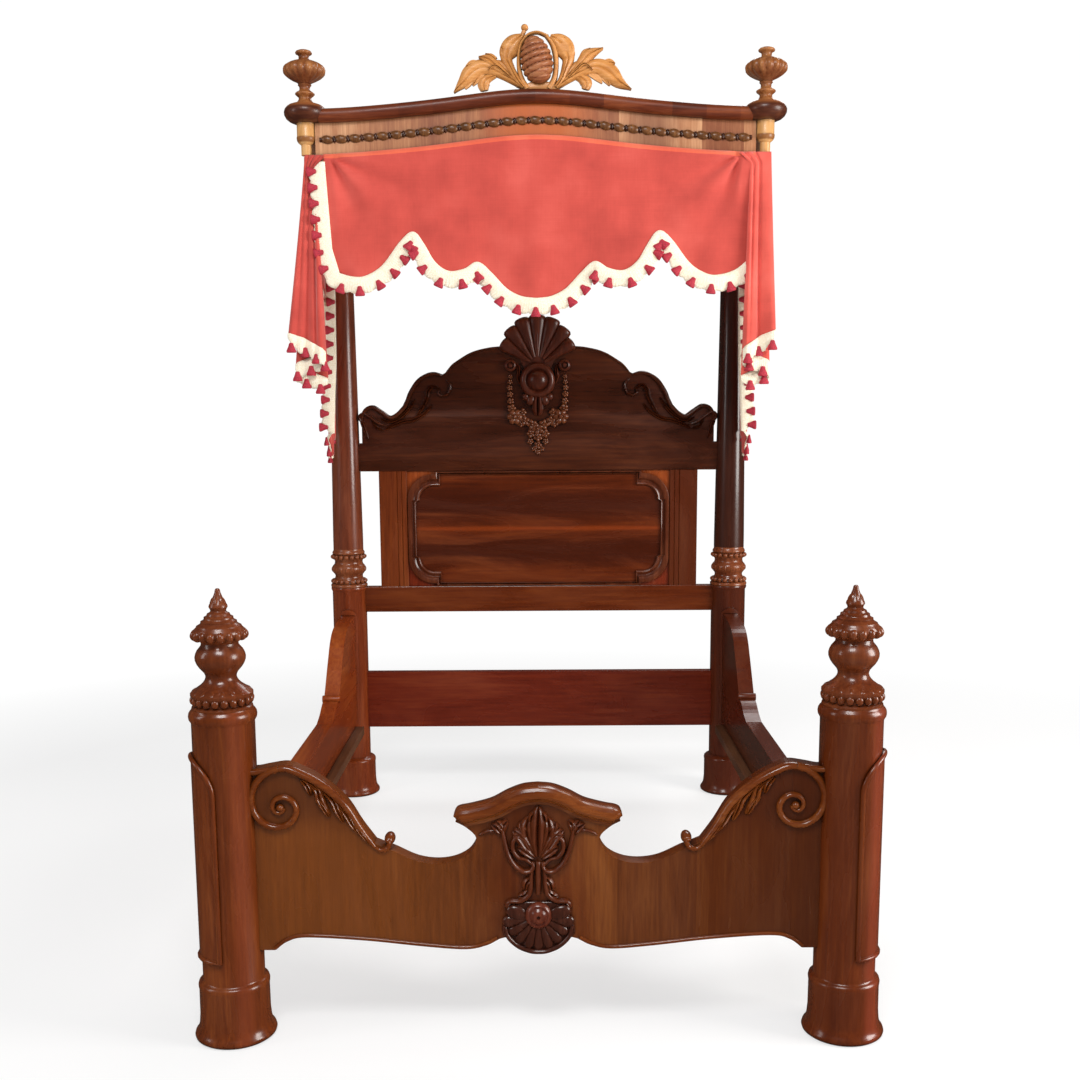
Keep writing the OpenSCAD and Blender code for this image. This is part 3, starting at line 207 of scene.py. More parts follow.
def spiral(centre, table, turns, y, width, height, steps):  # radii by degrees from the top
    points, sizes = [], []
    total = int(turns * steps)
    for i in range(total + 1):
        degrees = 360 * i / steps
        r = between(table, degrees)
        a = math.radians(90 + degrees)
        points.append((centre[0] + r * math.cos(a), y, centre[1] + r * math.sin(a)))
        sizes.append(1 - 0.45 * i / total)
    return sweep(roundSection, points, [width * s for s in sizes], [height * s for s in sizes])


def joined(parts):  # one bmesh from several
    whole = bmesh.new()
    for part in parts:
        carrier = bpy.data.meshes.new("carrier")
        bmesh.ops.recalc_face_normals(part, faces=part.faces)
        part.to_mesh(carrier)
        whole.from_mesh(carrier)
        bpy.data.meshes.remove(carrier)
        part.free()
    return whole


def placed(bm, x=0, y=0, z=0):
    bmesh.ops.translate(bm, verts=bm.verts, vec=(x, y, z))
    return bm


def facing(profile, steps, x, y, z):  # a turned shape laid over, so that it looks out of a board
    bm = turned(profile, steps)
    bmesh.ops.rotate(bm, verts=bm.verts, cent=(0, 0, 0),
                     matrix=Matrix.Rotation(math.radians(90), 3, "X"))
    return placed(bm, x, y, z)


def mirrored(bm):
    twin = bm.copy()
    bmesh.ops.scale(twin, verts=twin.verts, vec=(-1, 1, 1))
    bmesh.ops.reverse_faces(twin, faces=twin.faces)
    return twin


def bothHands(parts):  # what was drawn for the left, and its mirror image
    whole = joined(parts)
    return [whole, mirrored(whole)]


def mirrorLine(points):
    return points + [(-x, z) for x, z in reversed(points[:-1])]


def finishPiece(name, bm, material, nodes=(), sharp=38):
    bmesh.ops.scale(bm, verts=bm.verts, vec=(mm, mm, mm))
    mesh = bpy.data.meshes.new(name)
    bm.to_mesh(mesh)
    bm.free()
    mesh.shade_smooth()
    mesh.set_sharp_from_angle(angle=math.radians(sharp))
    piece = bpy.data.objects.new(name, mesh)
    bpy.context.scene.collection.objects.link(piece)
    for item in material if isinstance(material, (list, tuple)) else [material]:
        mesh.materials.append(item)
    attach(piece, "root")
    if nodes:
        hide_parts(*nodes)
    return piece


def finishPair(name, bm, material, nodes=(), sharp=38):
    right = mirrored(bm)
    return [finishPiece(name + "_left", bm, material, [n + "_left" for n in nodes], sharp),
            finishPiece(name + "_right", right, material, [n + "_right" for n in nodes], sharp)]


# materials

def newMaterial(name):
    material = bpy.data.materials.new(name)
    material.use_nodes = True
    tree = material.node_tree
    tree.nodes.clear()
    output = addNode(tree, "OutputMaterial")
    shader = addNode(tree, "BsdfPrincipled")
    tree.links.new(shader.outputs["BSDF"], output.inputs["Surface"])
    return material, tree, shader


def woodMaterial(name, dark, mid, light, along="z", grainMm=7, figureMm=140, rough=(0.2, 0.36),
                 coat=0.3, strip=0, stripAxis="x", wear=0.0, hollowPolishAndShade=0.75, relief=0.25, contrast=0.09,
                 patches=()):
    material, tree, shader = newMaterial(name)
    where = addNode(tree, "TexCoord").outputs["Object"]
    parted = addNode(tree, "SeparateXYZ", {"Vector": where})
    axis = "xyz".index(along)
    stretch = [1, 1, 1]
    stretch[axis] = 0.05
    grainSpace = addNode(tree, "Mapping", {"Vector": where, "Scale": stretch}).outputs["Vector"]
    stretch[axis] = 0.22
    figureSpace = addNode(tree, "Mapping", {"Vector": where, "Scale": stretch}).outputs["Vector"]
    grain = addNode(tree, "TexNoise", {"Vector": grainSpace, "Scale": 1000 / grainMm, "Detail": 5.0,
                                       "Roughness": 0.62, "Distortion": 0.4})
    figure = addNode(tree, "TexNoise", {"Vector": figureSpace, "Scale": 1000 / figureMm,
                                        "Detail": 4.0, "Roughness": 0.55, "Distortion": 1.4})
    pores = addNode(tree, "TexNoise", {"Vector": grainSpace, "Scale": 1000 / (grainMm * 0.22),
                                       "Detail": 2.0})
    blend = addNode(tree, "Mix", {0: 0.55, 2: grain.outputs["Fac"], 3: figure.outputs["Fac"]},
                    data_type="FLOAT")
    value = blend.outputs[0]
    if strip:  # veneer laid in strips, each a little lighter or darker
        cell = addNode(tree, "Math", {0: parted.outputs[stripAxis.upper()], 1: strip * mm},
                       operation="DIVIDE")
        cell = addNode(tree, "Math", {0: cell.outputs[0]}, operation="FLOOR")
        noise = addNode(tree, "TexWhiteNoise", {"W": cell.outputs[0]}, noise_dimensions="1D")
        shift = addNode(tree, "MapRange", {"Value": noise.outputs["Value"], "To Min": -contrast,
                                           "To Max": contrast})
        value = addNode(tree, "Math", {0: value, 1: shift.outputs["Result"]},
                        operation="ADD").outputs[0]
    colour = addNode(tree, "ValToRGB", {"Fac": value},
                     stops=[(0.3, dark), (0.5, mid), (0.7, light)]).outputs["Color"]
    # tinted patches: axis, middle, full to, gone by, ragged (mm), strength, colour
    for side, centre, inner, outer, ragged, strength, tint in patches:
        offset = addNode(tree, "Math", {0: parted.outputs[side], 1: centre * mm}, operation="SUBTRACT")
        far = addNode(tree, "Math", {0: offset.outputs[0]}, operation="ABSOLUTE")
        shifted = addNode(tree, "Math", {0: figure.outputs["Fac"], 1: ragged * mm,
                                         2: far.outputs[0]}, operation="MULTIPLY_ADD")
        fade = addNode(tree, "MapRange", {"Value": shifted.outputs[0],
                                          "From Min": (inner + ragged / 2) * mm,
                                          "From Max": (outer + ragged / 2) * mm,
                                          "To Min": strength, "To Max": 0.0},
                       interpolation_type="SMOOTHSTEP")
        colour = addNode(tree, "Mix", {0: fade.outputs["Result"], 6: colour,
                                       7: linearColour(tint)}, data_type="RGBA").outputs[2]
    poreShade = addNode(tree, "ValToRGB", {"Fac": pores.outputs["Fac"]},
                        stops=[(0.3, 0.72), (0.5, 1.0)]).outputs["Color"]
    colour = addNode(tree, "Mix", {0: 0.4, 6: colour, 7: poreShade}, data_type="RGBA",
                     blend_type="MULTIPLY").outputs[2]
    if hollowPolishAndShade < 1:  # painted shade, with old polish and dirt: ambient occlusion darkens the hollows of carving and where parts meet
        hollow = addNode(tree, "AmbientOcclusion", {"Distance": 0.02}, samples=6)
        shade = addNode(tree, "ValToRGB", {"Fac": hollow.outputs["AO"]},
                        stops=[(0.25, hollowPolishAndShade * 0.5), (0.85, 1.0)]).outputs["Color"]
        colour = addNode(tree, "Mix", {0: 1.0, 6: colour, 7: shade}, data_type="RGBA",
                         blend_type="MULTIPLY").outputs[2]
    if wear:  # rubbed crests show the paler wood
        crest = addNode(tree, "NewGeometry").outputs["Pointiness"]
        rubbed = addNode(tree, "ValToRGB", {"Fac": crest}, stops=[(0.5, 0.0), (0.6, 1.0)])
        amount = addNode(tree, "Math", {0: rubbed.outputs["Color"], 1: wear},
                         operation="MULTIPLY").outputs[0]
        colour = addNode(tree, "Mix", {0: amount, 6: colour, 7: linearColour(light)},
                         data_type="RGBA").outputs[2]
    gloss = addNode(tree, "MapRange", {"Value": figure.outputs["Fac"], "From Min": 0.3,
                                       "From Max": 0.7, "To Min": rough[0], "To Max": rough[1]})
    bump = addNode(tree, "Bump", {"Height": grain.outputs["Fac"], "Strength": relief,
                                  "Distance": 0.0004})
    tree.links.new(colour, shader.inputs["Base Color"])
    tree.links.new(gloss.outputs["Result"], shader.inputs["Roughness"])
    tree.links.new(bump.outputs["Normal"], shader.inputs["Normal"])
    shader.inputs["Specular IOR Level"].default_value = 0.4
    shader.inputs["Coat Weight"].default_value = coat
    shader.inputs["Coat Roughness"].default_value = 0.12
    return material


def clothMaterial(name, deep, plain, pale, threadMm=2.2, sheen=0.35):
    material, tree, shader = newMaterial(name)
    where = addNode(tree, "TexCoord").outputs["Object"]
    parted = addNode(tree, "SeparateXYZ", {"Vector": where})
    slack = addNode(tree, "TexNoise", {"Vector": where, "Scale": 7.0, "Detail": 4.0})
    stretch = addNode(tree, "Mapping", {"Vector": where, "Scale": [1, 1, 0.03]})
    slub = addNode(tree, "TexNoise", {"Vector": stretch.outputs["Vector"], "Scale": 320.0,
                                      "Detail": 2.0})
    across = addNode(tree, "Mapping", {"Vector": where, "Scale": [0.03, 0.03, 1]})
    weft = addNode(tree, "TexNoise", {"Vector": across.outputs["Vector"], "Scale": 320.0,
                                      "Detail": 2.0})
    both = addNode(tree, "Mix", {0: 0.5, 2: slub.outputs["Fac"], 3: weft.outputs["Fac"]},
                   data_type="FLOAT")
    value = addNode(tree, "Mix", {0: 0.22, 2: slack.outputs["Fac"], 3: both.outputs[0]},
                    data_type="FLOAT")
    colour = addNode(tree, "ValToRGB", {"Fac": value.outputs[0]},
                     stops=[(0.28, deep), (0.5, plain), (0.72, pale)]).outputs["Color"]
    tree.links.new(colour, shader.inputs["Base Color"])
    threads = []
    for axis in ("X", "Z"):
        wave = addNode(tree, "Math", {0: parted.outputs[axis], 1: math.tau * 1000 / threadMm},
                       operation="MULTIPLY")
        threads.append(addNode(tree, "Math", {0: wave.outputs[0]}, operation="SINE").outputs[0])
    weave = addNode(tree, "Math", {0: threads[0], 1: threads[1]}, operation="MULTIPLY")
    bump = addNode(tree, "Bump", {"Height": weave.outputs[0], "Strength": 0.12,
                                  "Distance": 0.0004})
    tree.links.new(bump.outputs["Normal"], shader.inputs["Normal"])
    shader.inputs["Roughness"].default_value = 0.85
    shader.inputs["Sheen Weight"].default_value = sheen
    shader.inputs["Sheen Roughness"].default_value = 0.5
    return material


def plainMaterial(name, dark, light, grainMm=3, rough=0.6, metal=0.0, relief=0.3, coat=0.0):
    material, tree, shader = newMaterial(name)
    where = addNode(tree, "TexCoord").outputs["Object"]
    speck = addNode(tree, "TexNoise", {"Vector": where, "Scale": 1000 / grainMm, "Detail": 4.0})
    colour = addNode(tree, "ValToRGB", {"Fac": speck.outputs["Fac"]},
                     stops=[(0.35, dark), (0.65, light)]).outputs["Color"]
    bump = addNode(tree, "Bump", {"Height": speck.outputs["Fac"], "Strength": relief,
                                  "Distance": 0.0005})
    tree.links.new(colour, shader.inputs["Base Color"])
    tree.links.new(bump.outputs["Normal"], shader.inputs["Normal"])
    shader.inputs["Roughness"].default_value = rough
    shader.inputs["Metallic"].default_value = metal
    shader.inputs["Coat Weight"].default_value = coat
    return material


# French-polished mahogany: red-brown, deep gloss, grain up the posts; painted shade darkens the right-hand
# posts, and a red-orange painted highlight runs down the right side of each post
postWood = woodMaterial("french_polished_mahogany", "#4a1c07", "#6a2e0c", "#8a4516", "z", 10, 230,
                        patches=[("X", 745, 500, 1100, 0, 0.35, "#4c1a08"),
                                 ("X", -704, 4, 28, 12, 0.25, "#96462a"),
                                 ("X", 800, 4, 30, 12, 0.35, "#96402a")])
# turned mahogany: the same polish, rubbed paler on the beads and pearls
turnedWood = woodMaterial("turned_mahogany", "#431a09", "#642c11", "#80421f", "z", 9, 150, wear=0.35)
collarWood = woodMaterial("rubbed_turned_mahogany", "#4f200e", "#74391c", "#93522e", "z", 9, 150, wear=0.4)
# the head end stands in shade on the right, and its wood is darker there
headPostWood = woodMaterial("polished_mahogany_column", "#581f0b", "#7a3314", "#96491f", "z", 10, 200,
                            patches=[("X", 745, 500, 1100, 0, 0.75, "#3a150a")])
upperPostWood = woodMaterial("dark_mahogany_column", "#4a2012", "#70351f", "#915034", "z", 10, 200,
                             patches=[("X", 745, 500, 1100, 0, 0.85, "#2a110a")])
# vertical mahogany veneer in strips on the footboard
boardWood = woodMaterial("mahogany_veneer_strips", "#4a2107", "#6c340a", "#8a4b14", "z", 9, 180,
                         strip=190, coat=0.15, patches=[("X", 0, 10, 200, 90, 0.4, "#64240c"),
                                             ("X", -480, 60, 400, 60, 0.4, "#8a4a14"),
                                             ("Z", 610, 30, 120, 50, 0.6, "#502208"),
                                             ("X", 620, 40, 560, 60, 0.75, "#481b06")])
# run and carved mouldings: bright along the crests, grain along the run
mouldWood = woodMaterial("mahogany_moulding", "#451b07", "#652c0c", "#88491c", "x", 9, 150, wear=0.35,
                         rough=(0.15, 0.28), coat=0.35)
# carved mahogany: old polish and painted shade darken the hollows, and the crests are rubbed
carvedWood = woodMaterial("carved_mahogany", "#351206", "#50200c", "#743a1c", "z", 8, 110, wear=0.4,
                          hollowPolishAndShade=0.7, rough=(0.24, 0.36), coat=0.25)
# plain sawn rails: redder, thin polish, grain along the rail; painted shade darkens the rails and bracket on
# the right
railWood = woodMaterial("mahogany_rail", "#5c2009", "#82340e", "#a04e1a", "y", 10, 200,
                        coat=0.1,
                        patches=[("X", 745, 500, 1100, 0, 0.8, "#3c1408")])
roundelWood = woodMaterial("shaded_carved_mahogany", "#210d07", "#3c1a0f", "#5e3020", "z", 8, 110, wear=0.35,
                           hollowPolishAndShade=0.6, rough=(0.2, 0.32), coat=0.35)
bossWood = woodMaterial("red_carved_mahogany", "#3a140a", "#562012", "#80422c", "z", 8, 110, wear=0.4,
                        hollowPolishAndShade=0.55, rough=(0.22, 0.34), coat=0.3)
# headboard: the darkest wood of the bed, dull in its carving, with flame figure in the panel
crestWood = woodMaterial("dark_mahogany_board", "#2a0f05", "#421a08", "#5e2b0e", "x", 10, 170,
                         hollowPolishAndShade=0.55, coat=0.2)
shellWood = woodMaterial("dark_carved_mahogany", "#2c0f06", "#481b0c", "#6a321a", "z", 8, 110,
                         wear=0.35, hollowPolishAndShade=0.5, rough=(0.28, 0.42), coat=0.12)
festoonWood = woodMaterial("carved_flower_mahogany", "#3a180b", "#5c2c16", "#80492a", "z", 8, 90,
                           wear=0.35, hollowPolishAndShade=0.5, rough=(0.16, 0.28), coat=0.45)
panelWood = woodMaterial("figured_mahogany_panel", "#421605", "#5e2306", "#7a360c", "x", 11, 120,
                         coat=0.15,
                         patches=[("Z", 1148, 14, 84, 130, 0.8, "#3c1305"),
                                  ("Z", 966, 14, 84, 130, 0.8, "#3c1305"),
                                  ("Z", 1057, 1, 13, 18, 0.6, "#8a370c")])
lowerBoardWood = woodMaterial("plain_mahogany_rail", "#431605", "#5e2407", "#76350d", "x", 11, 150,
                              coat=0.2)
# painted shade darkens the right-hand stile
stileWood = woodMaterial("mahogany_stile", "#4e1d08", "#70300e", "#8a4518", "z", 10, 170,
                         patches=[("X", 560, 300, 800, 0, 0.7, "#451908")])
lowRailWood = woodMaterial("red_mahogany_rail", "#4c140a", "#69210e", "#823517", "x", 10, 190)
spandrelWood = woodMaterial("orange_mahogany_veneer", "#7a330f", "#904014", "#a65424", "z", 7, 80)
lowSpandrelWood = woodMaterial("red_mahogany_veneer", "#5c1c0c", "#742810", "#8a3a1a", "z", 7, 80)
# cornice: short cross-grain blocks, rubbed to a dull polish
corniceWood = woodMaterial("mahogany_cornice", "#3e1507", "#66290e", "#8a431c", "x", 9, 130,
                           rough=(0.36, 0.48), coat=0.08, strip=110)
# cross-banded veneer on the canopy, warmer towards the middle
friezeWood = woodMaterial("pale_crossbanded_veneer", "#84492a", "#aa7049", "#cf9a70", "z", 7, 120,
                          rough=(0.4, 0.55), coat=0.05, strip=135, contrast=0.14,
                          patches=[("X", 10, 60, 240, 60, 0.95, "#b4561a"),
                                   ("X", 380, 20, 120, 40, 0.7, "#6e381e")])
# painted light: the front end of each side frieze, in shade beside the drum, is lightened
sideFriezeWood = woodMaterial("pale_side_veneer", "#7c4628", "#a26a42", "#c48e64", "z", 7, 120,
                              rough=(0.4, 0.55), coat=0.05, strip=62, stripAxis="y",
                               patches=[("Y", 375, 12, 50, 12, 0.85, "#d8a67a")])
# canopy trim: rubbed beads on a dark strip that paints the shade between them, pale waxed drums, dark discs,
# gadrooned urns
beadWood = woodMaterial("rubbed_bead_wood", "#2a150a", "#4e2a13", "#94602f", "z", 6, 60, wear=0.5,
                        hollowPolishAndShade=0.45, rough=(0.3, 0.42), coat=0.1)
darkStrip = woodMaterial("cavetto_painted_shade", "#241008", "#3a1a0c", "#522a14", "x", 8, 90, coat=0.1)
drumWood = woodMaterial("pale_turned_drum", "#b47a42", "#d0985a", "#e2b27a", "z", 7, 80, rough=(0.32, 0.44),
                        coat=0.15, patches=[("Z", 2382, 6, 12, 3, 0.85, "#7c4518")])
# painted light: the upward-facing top of each disc is lighter
discWood = woodMaterial("dark_turned_disc", "#2c1209", "#481f10", "#6f3b20", "x", 8, 90, wear=0.2,
                        rough=(0.3, 0.42), coat=0.12, patches=[("Z", 2497, 9, 24, 6, 0.85, "#a66234")])
# painted shade darkens the lower bowl and neck of each urn
urnWood = woodMaterial("gadrooned_mahogany", "#542810", "#874a20", "#b87c48", "z", 8, 90, wear=0.4,
                       rough=(0.34, 0.46), coat=0.1, hollowPolishAndShade=0.5,
                       patches=[("Z", 2562, 6, 34, 8, 0.6, "#5c2212")])
# crest: waxed golden oak leaves round a walnut nut, both dull
oakWood = woodMaterial("waxed_golden_oak_carving", "#9c5a24", "#c9843e", "#e4a96c", "x", 7, 70,
                       rough=(0.38, 0.52), coat=0.1, wear=0.4, hollowPolishAndShade=0.55)
nutWood = woodMaterial("waxed_walnut_nut", "#5a2a14", "#945230", "#c08458", "x", 8, 80,
                       rough=(0.34, 0.48), coat=0.15, wear=0.5, hollowPolishAndShade=0.35)
# hidden parts: stained softwood and cast iron without gloss
dealWood = woodMaterial("stained_deal", "#44240f", "#5f361a", "#7a4c2a", "y", 8, 150,
                        rough=(0.55, 0.7), coat=0.0)
iron = plainMaterial("cast_iron_hooks", "#1d1b1a", "#3a3734", 2, 0.55, 0.9)
# cotton lining and coral rep: matt with a soft sheen; the real threads of about 0.7 mm are too fine
# to show, so they are drawn 2.2 mm apart
lining = plainMaterial("cotton_lining", "#cdbfa6", "#dccfb8", 1.5, 0.9)
coralCloth = clothMaterial("coral_cotton_rep", "#ad352b", "#c44438", "#d35549")
# painted light: a lighter copy of the coral rep for the right-hand fall, which stands in shade
paintedLightCloth = clothMaterial("coral_cotton_rep_painted_light", "#c44438", "#de5648", "#ec685a")
hemCloth = clothMaterial("coral_hem_tape", "#cf4a30", "#e06040", "#ea7654")
# ivory braid and crimson silk: rough twisted thread
fringeThread = plainMaterial("ivory_braid_fringe", "#ead9b6", "#fff8e8", 2.4, 0.9, relief=0.9)
tasselThread = plainMaterial("crimson_tassel_silk", "#8a1626", "#c62a40", 2.6, 0.7, relief=0.8)


def setMaterial(node, material, bevel=0):  # a CAD node keeps its mesh
    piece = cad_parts[node]
    piece.data.materials.clear()
    piece.data.materials.append(material)
    if bevel:
        weld = piece.modifiers.new("weld", "WELD")
        weld.merge_threshold = 0.00005
        soft = piece.modifiers.new("soften", "BEVEL")
        soft.width, soft.segments, soft.limit_method = bevel * mm, 2, "ANGLE"
        soft.angle_limit = math.radians(50)


for node, material, bevel in (
        ("side_rail_left", railWood, 2), ("side_rail_right", railWood, 2),
        ("wing_bracket_left", railWood, 2), ("wing_bracket_right", railWood, 2),
        ("rail_cleat_left", dealWood, 1.5), ("rail_cleat_right", dealWood, 1.5),
        ("rail_hooks", iron, 0), ("hook_keepers", iron, 0),
        ("headboard_bottom_rail", lowerBoardWood, 2), ("head_cross_rail", lowRailWood, 2),
        ("headboard_panel", panelWood, 0), ("canopy_back_rail", dealWood, 1.5),
        ("canopy_frieze_front", friezeWood, 0), ("canopy_frieze_left", sideFriezeWood, 0),
        ("canopy_frieze_right", sideFriezeWood, 0), ("canopy_ceiling", lining, 0)):
    setMaterial(node, material, bevel)
print("materials done")

# foot posts
foot = {"shaft": 74, "top": 818, "ring": 79}
plinth = [(0, 0), (93, 0), (97, 3), (98.5, 8), (97, 13), (93, 18), (89, 26), (86.5, 36), (85.5, 48),
          (84.5, 60), (84, 124), (85, 128), (85.5, 134), (84, 140), (80, 144), (76.5, 145.5)]
footProfile = plinth + [(foot["shaft"], 150), (foot["shaft"], 784), (76, 788), (foot["ring"], 793),
                        (80, 800), (foot["ring"], 807), (76, 812), (73, 815),
                        (72, foot["top"]), (0, foot["top"])]
finishPair("foot_post", placed(turned(footProfile, 128), -halfSpan, footY), postWood,
           ["foot_post"])

# arched panel wrapped round the outer side of each post
panelOnPost = {"centre": 190, "span": 74, "z": 205, "height": 505, "rise": 92, "thick": 5, "bead": 5.5,
               "inset": 5, "cut": 10}


def wrapOnPost(bm, radius, centre, x, y):
    for v in bm.verts:
        a = math.radians(centre) + v.co.x / radius
        r = radius + v.co.y
        v.co = Vector((x + r * math.cos(a), y + r * math.sin(a), v.co.z))
    bmesh.ops.reverse_faces(bm, faces=bm.faces)
    return bm


def archOutline(inset, steps=14):
    rise = panelOnPost["rise"] - inset
    half = math.radians(panelOnPost["span"]) * foot["shaft"] - inset
    spring = panelOnPost["z"] + panelOnPost["height"] - panelOnPost["rise"]
    low = panelOnPost["z"] + inset
    arch = [(half * math.cos(math.pi * i / steps), spring + rise * math.sin(math.pi * i / steps))
            for i in range(steps + 1)]
    return [(half, low)] + arch + [(-half, low)]


def cutUpright(bm):  # narrow strips that can bend round the post
    for k in range(-9, 10):
        geom = bm.verts[:] + bm.edges[:] + bm.faces[:]
        bmesh.ops.bisect_plane(bm, geom=geom, plane_co=(k * panelOnPost["cut"], 0, 0),
                               plane_no=(1, 0, 0))
    return bm


def archedPanel():
    thick, size = panelOnPost["thick"], panelOnPost["bead"]
    field = cutUpright(slab(archOutline(3), 0, thick))
    outline = archOutline(panelOnPost["inset"], 28)
    x, low = outline[0]
    side = [(x, low + (outline[1][1] - low) * i / 6) for i in range(1, 6)]
    sill = [(-x + 2 * x * i / 10, low) for i in range(1, 10)]
    loop = [outline[0]] + side + outline[1:-1] + [(-px, pz) for px, pz in reversed(side)] \
        + [outline[-1]] + sill
    bead = sweep(roundSection, onBoard(loop, thick), size, size, (0, 1, 0), closed=True)
    toe = cutUpright(box((186, 7, 12), (0, 3.5, panelOnPost["z"] + 6), 2))
    return wrapOnPost(joined([field, bead, toe]), foot["shaft"], panelOnPost["centre"], -halfSpan,
                      footY)


finishPair("foot_post_panel", archedPanel(), postWood, ["foot_post_panel"])

# turned finial with two rows of pearls and a gadrooned dish
finial = {"lobes": 17, "pearls": 20, "facets": 8}
finialProfile = [(0, 817), (71, 817), (71, 822), (68, 825), (64, 828), (64, 838), (68, 842), (71, 846),
                 (73, 850), (73, 855), (69, 859), (62, 864), (55, 869), (48, 874), (42, 880), (38, 886),
                 (36, 892), (36.5, 897), (39, 903), (44, 909), (50, 916), (55, 924), (58.5, 933),
                 (59, 941), (57, 949), (53, 957), (48, 963), (44, 968), (43, 974), (46, 979), (52, 983),
                 (58, 988), (61, 994), (60, 1001), (57, 1007), (53, 1011), (52, 1014), (45, 1018),
                 (42, 1021), (42, 1025), (36, 1028), (34, 1031), (34, 1035), (28, 1038), (26, 1043),
                 (20, 1046), (18, 1049), (19, 1053), (22, 1058), (21, 1063), (17, 1069), (13, 1076),
                 (10, 1084), (7, 1092), (6, 1098), (4, 1101), (0, 1102)]


def footFinial():
    parts = [turned(finialProfile, 96)]
    parts += ring(finial["lobes"], 54, 993, (14, 10.5, 13), 0.5, 0.5, 14, 10)
    parts += ring(finial["lobes"], 60, 857, (14, 9, 8), 0.45, 0.5)
    parts += ring(finial["pearls"], 66, 839, (9, 9.5, 11), u=14, v=10)
    parts += ring(finial["facets"], 13, 1071, (5, 4.5, 12), -0.42, u=8, v=6)  # the pointed bud
    return placed(joined(parts), -halfSpan, footY)


finishPair("foot_finial", footFinial(), turnedWood, ["foot_finial"])
print("foot posts done")

# footboard
board = {"half": 683, "height": 405, "z": 220, "thick": 46}
frontFace = footY - board["thick"] / 2
endShare = 1.112
shoulderKeys = [(-1, endShare), (-0.975, endShare), (-0.93, 1.127), (-0.874, 1.138), (-0.826, 1.109),
                (-0.764, 1.052), (-0.71, 0.98), (-0.662, 0.894), (-0.618, 0.77), (-0.571, 0.659)]
underKeys = [(-0.934, 0), (-0.89, 0.054), (-0.818, 0.079), (-0.608, 0.057), (-0.395, 0.017),
             (-0.256, 0), (-0.184, 0.025), (-0.12, 0.072), (0, 0.075)]


def onFootboard(keys, steps=4, lift=0):
    return [(q[0] * board["half"], board["z"] + q[1] * board["height"] + lift)
            for q in smoothCurve(keys, steps)]


under = onFootboard(underKeys, 6)
setMaterial("footboard", boardWood, 2)

# light bead along the lower edge, stopped at the roundel
edgeBead = {"stop": 96, "lift": 5, "width": 5, "depth": 6}
beadLine = [(x, z + edgeBead["lift"]) for x, z in under if x < -edgeBead["stop"]]
cockBead = joined(bothHands([sweep(roundSection, onBoard(beadLine, frontFace + 1), edgeBead["width"],
                                   edgeBead["depth"])]))
finishPiece("footboard_edge_bead", cockBead, mouldWood)

# cap moulding bent like a cupid's bow
cap = {"top": 625, "ends": 0.62}
capKeys = [(-202, -74), (-196, -62), (-184, -56), (-158, -51), (-111, -38), (-73, -18), (-36, -4),
           (0, 0)]
capSection = [(0, 0), (24, 0), (29, -2), (31, -5), (33, -8), (38, -9.5), (42, -13), (43.5, -18),
              (42, -23), (37, -27.5), (30, -30), (25, -35), (24, -42), (0, -42)]
capSection += [(-a, b) for a, b in reversed(capSection[1:-1])]


def capMoulding():
    line = [Vector((x, footY, cap["top"] + z)) for x, z in mirrorLine(smoothCurve(capKeys, 7))]
    last = len(line) - 1
    taper = [min(1, cap["ends"] + (1 - cap["ends"]) * (min(i, last - i) / 7) ** 0.5)
             for i in range(last + 1)]

    def upFrom(p):
        i = min(range(len(line)), key=lambda k: (line[k] - p).length)
        return Vector((0, -1, 0)).cross(line[min(i + 1, last)] - line[max(i - 1, 0)])

    return sweep(capSection, line, taper, taper, upFrom)


finishPiece("footboard_cap", capMoulding(), mouldWood, ["footboard_cap"], 30)

# rim moulding that winds into a volute, with flame leaves under it
volute = {"x": -612, "z": 578, "turns": 1.75, "width": 9.5, "depth": 15}
voluteTable = [(0, 97), (45, 82), (90, 66), (135, 55), (180, 47), (225, 42), (270, 38), (315, 31),
               (360, 25), (405, 21), (450, 18), (510, 14), (570, 10), (640, 7)]


flame = {"midX": 175, "midZ": 275, "step": 0.55}  # the leaves are drawn about the volute's eye
flameLeaves = [  # points, half width
    ([(270, 150), (296, 178), (310, 224)], 9),
    ([(306, 160), (338, 196), (352, 246), (392, 318)], 12),
    ([(362, 196), (404, 240), (424, 290), (446, 345)], 11),
    ([(420, 254), (458, 300), (486, 350), (524, 402)], 10),
    ([(486, 332), (522, 386), (562, 442)], 8),
    ([(330, 232), (364, 276), (384, 318)], 8),
    ([(300, 158), (330, 178), (350, 204)], 7),
    ([(400, 214), (436, 262), (462, 300)], 7)]
scrollTip = [(560, 440), (600, 468), (632, 462), (642, 436), (628, 424)]


def besideVolute(points):
    return [(volute["x"] + (x - flame["midX"]) * flame["step"],
             volute["z"] + (flame["midZ"] - z) * flame["step"]) for x, z in points]


def scrollSide():
    eye, size = (volute["x"], volute["z"]), volute["width"]
    rim = [p for p in onFootboard(shoulderKeys, 5, -7) if p[0] > volute["x"] - 4]
    tail = [p for p in onFootboard(shoulderKeys[:5], 5, -6) if p[0] < volute["x"] + 10]
    parts = [strand(rim, size, 14, frontFace, steps=1, tip=0.9, tail=0.5),
             strand(tail, 7.5, 10, frontFace, steps=1, tip=0.9, tail=0.8),
             spiral(eye, voluteTable, volute["turns"], frontFace, size, volute["depth"], 26),
             ball((eye[0], frontFace, eye[1]), (10, 13, 10))]
    parts += [strand(besideVolute(line), width, 12, frontFace, leafSection, 6, 0.6, 0.08)
              for line, width in flameLeaves]
    budX, budZ = -0.521 * board["half"], board["z"] + 0.665 * board["height"] + 4
    parts += [ball((budX, footY, budZ), (13, board["thick"] / 2 + 5, 14), u=20, v=14),
              strand(besideVolute(scrollTip), 6, 8, frontFace, steps=6, tip=0.4, tail=0.5)]
    return joined(parts)


finishPair("footboard_scroll", scrollSide(), mouldWood, ["footboard_scroll"], 40)


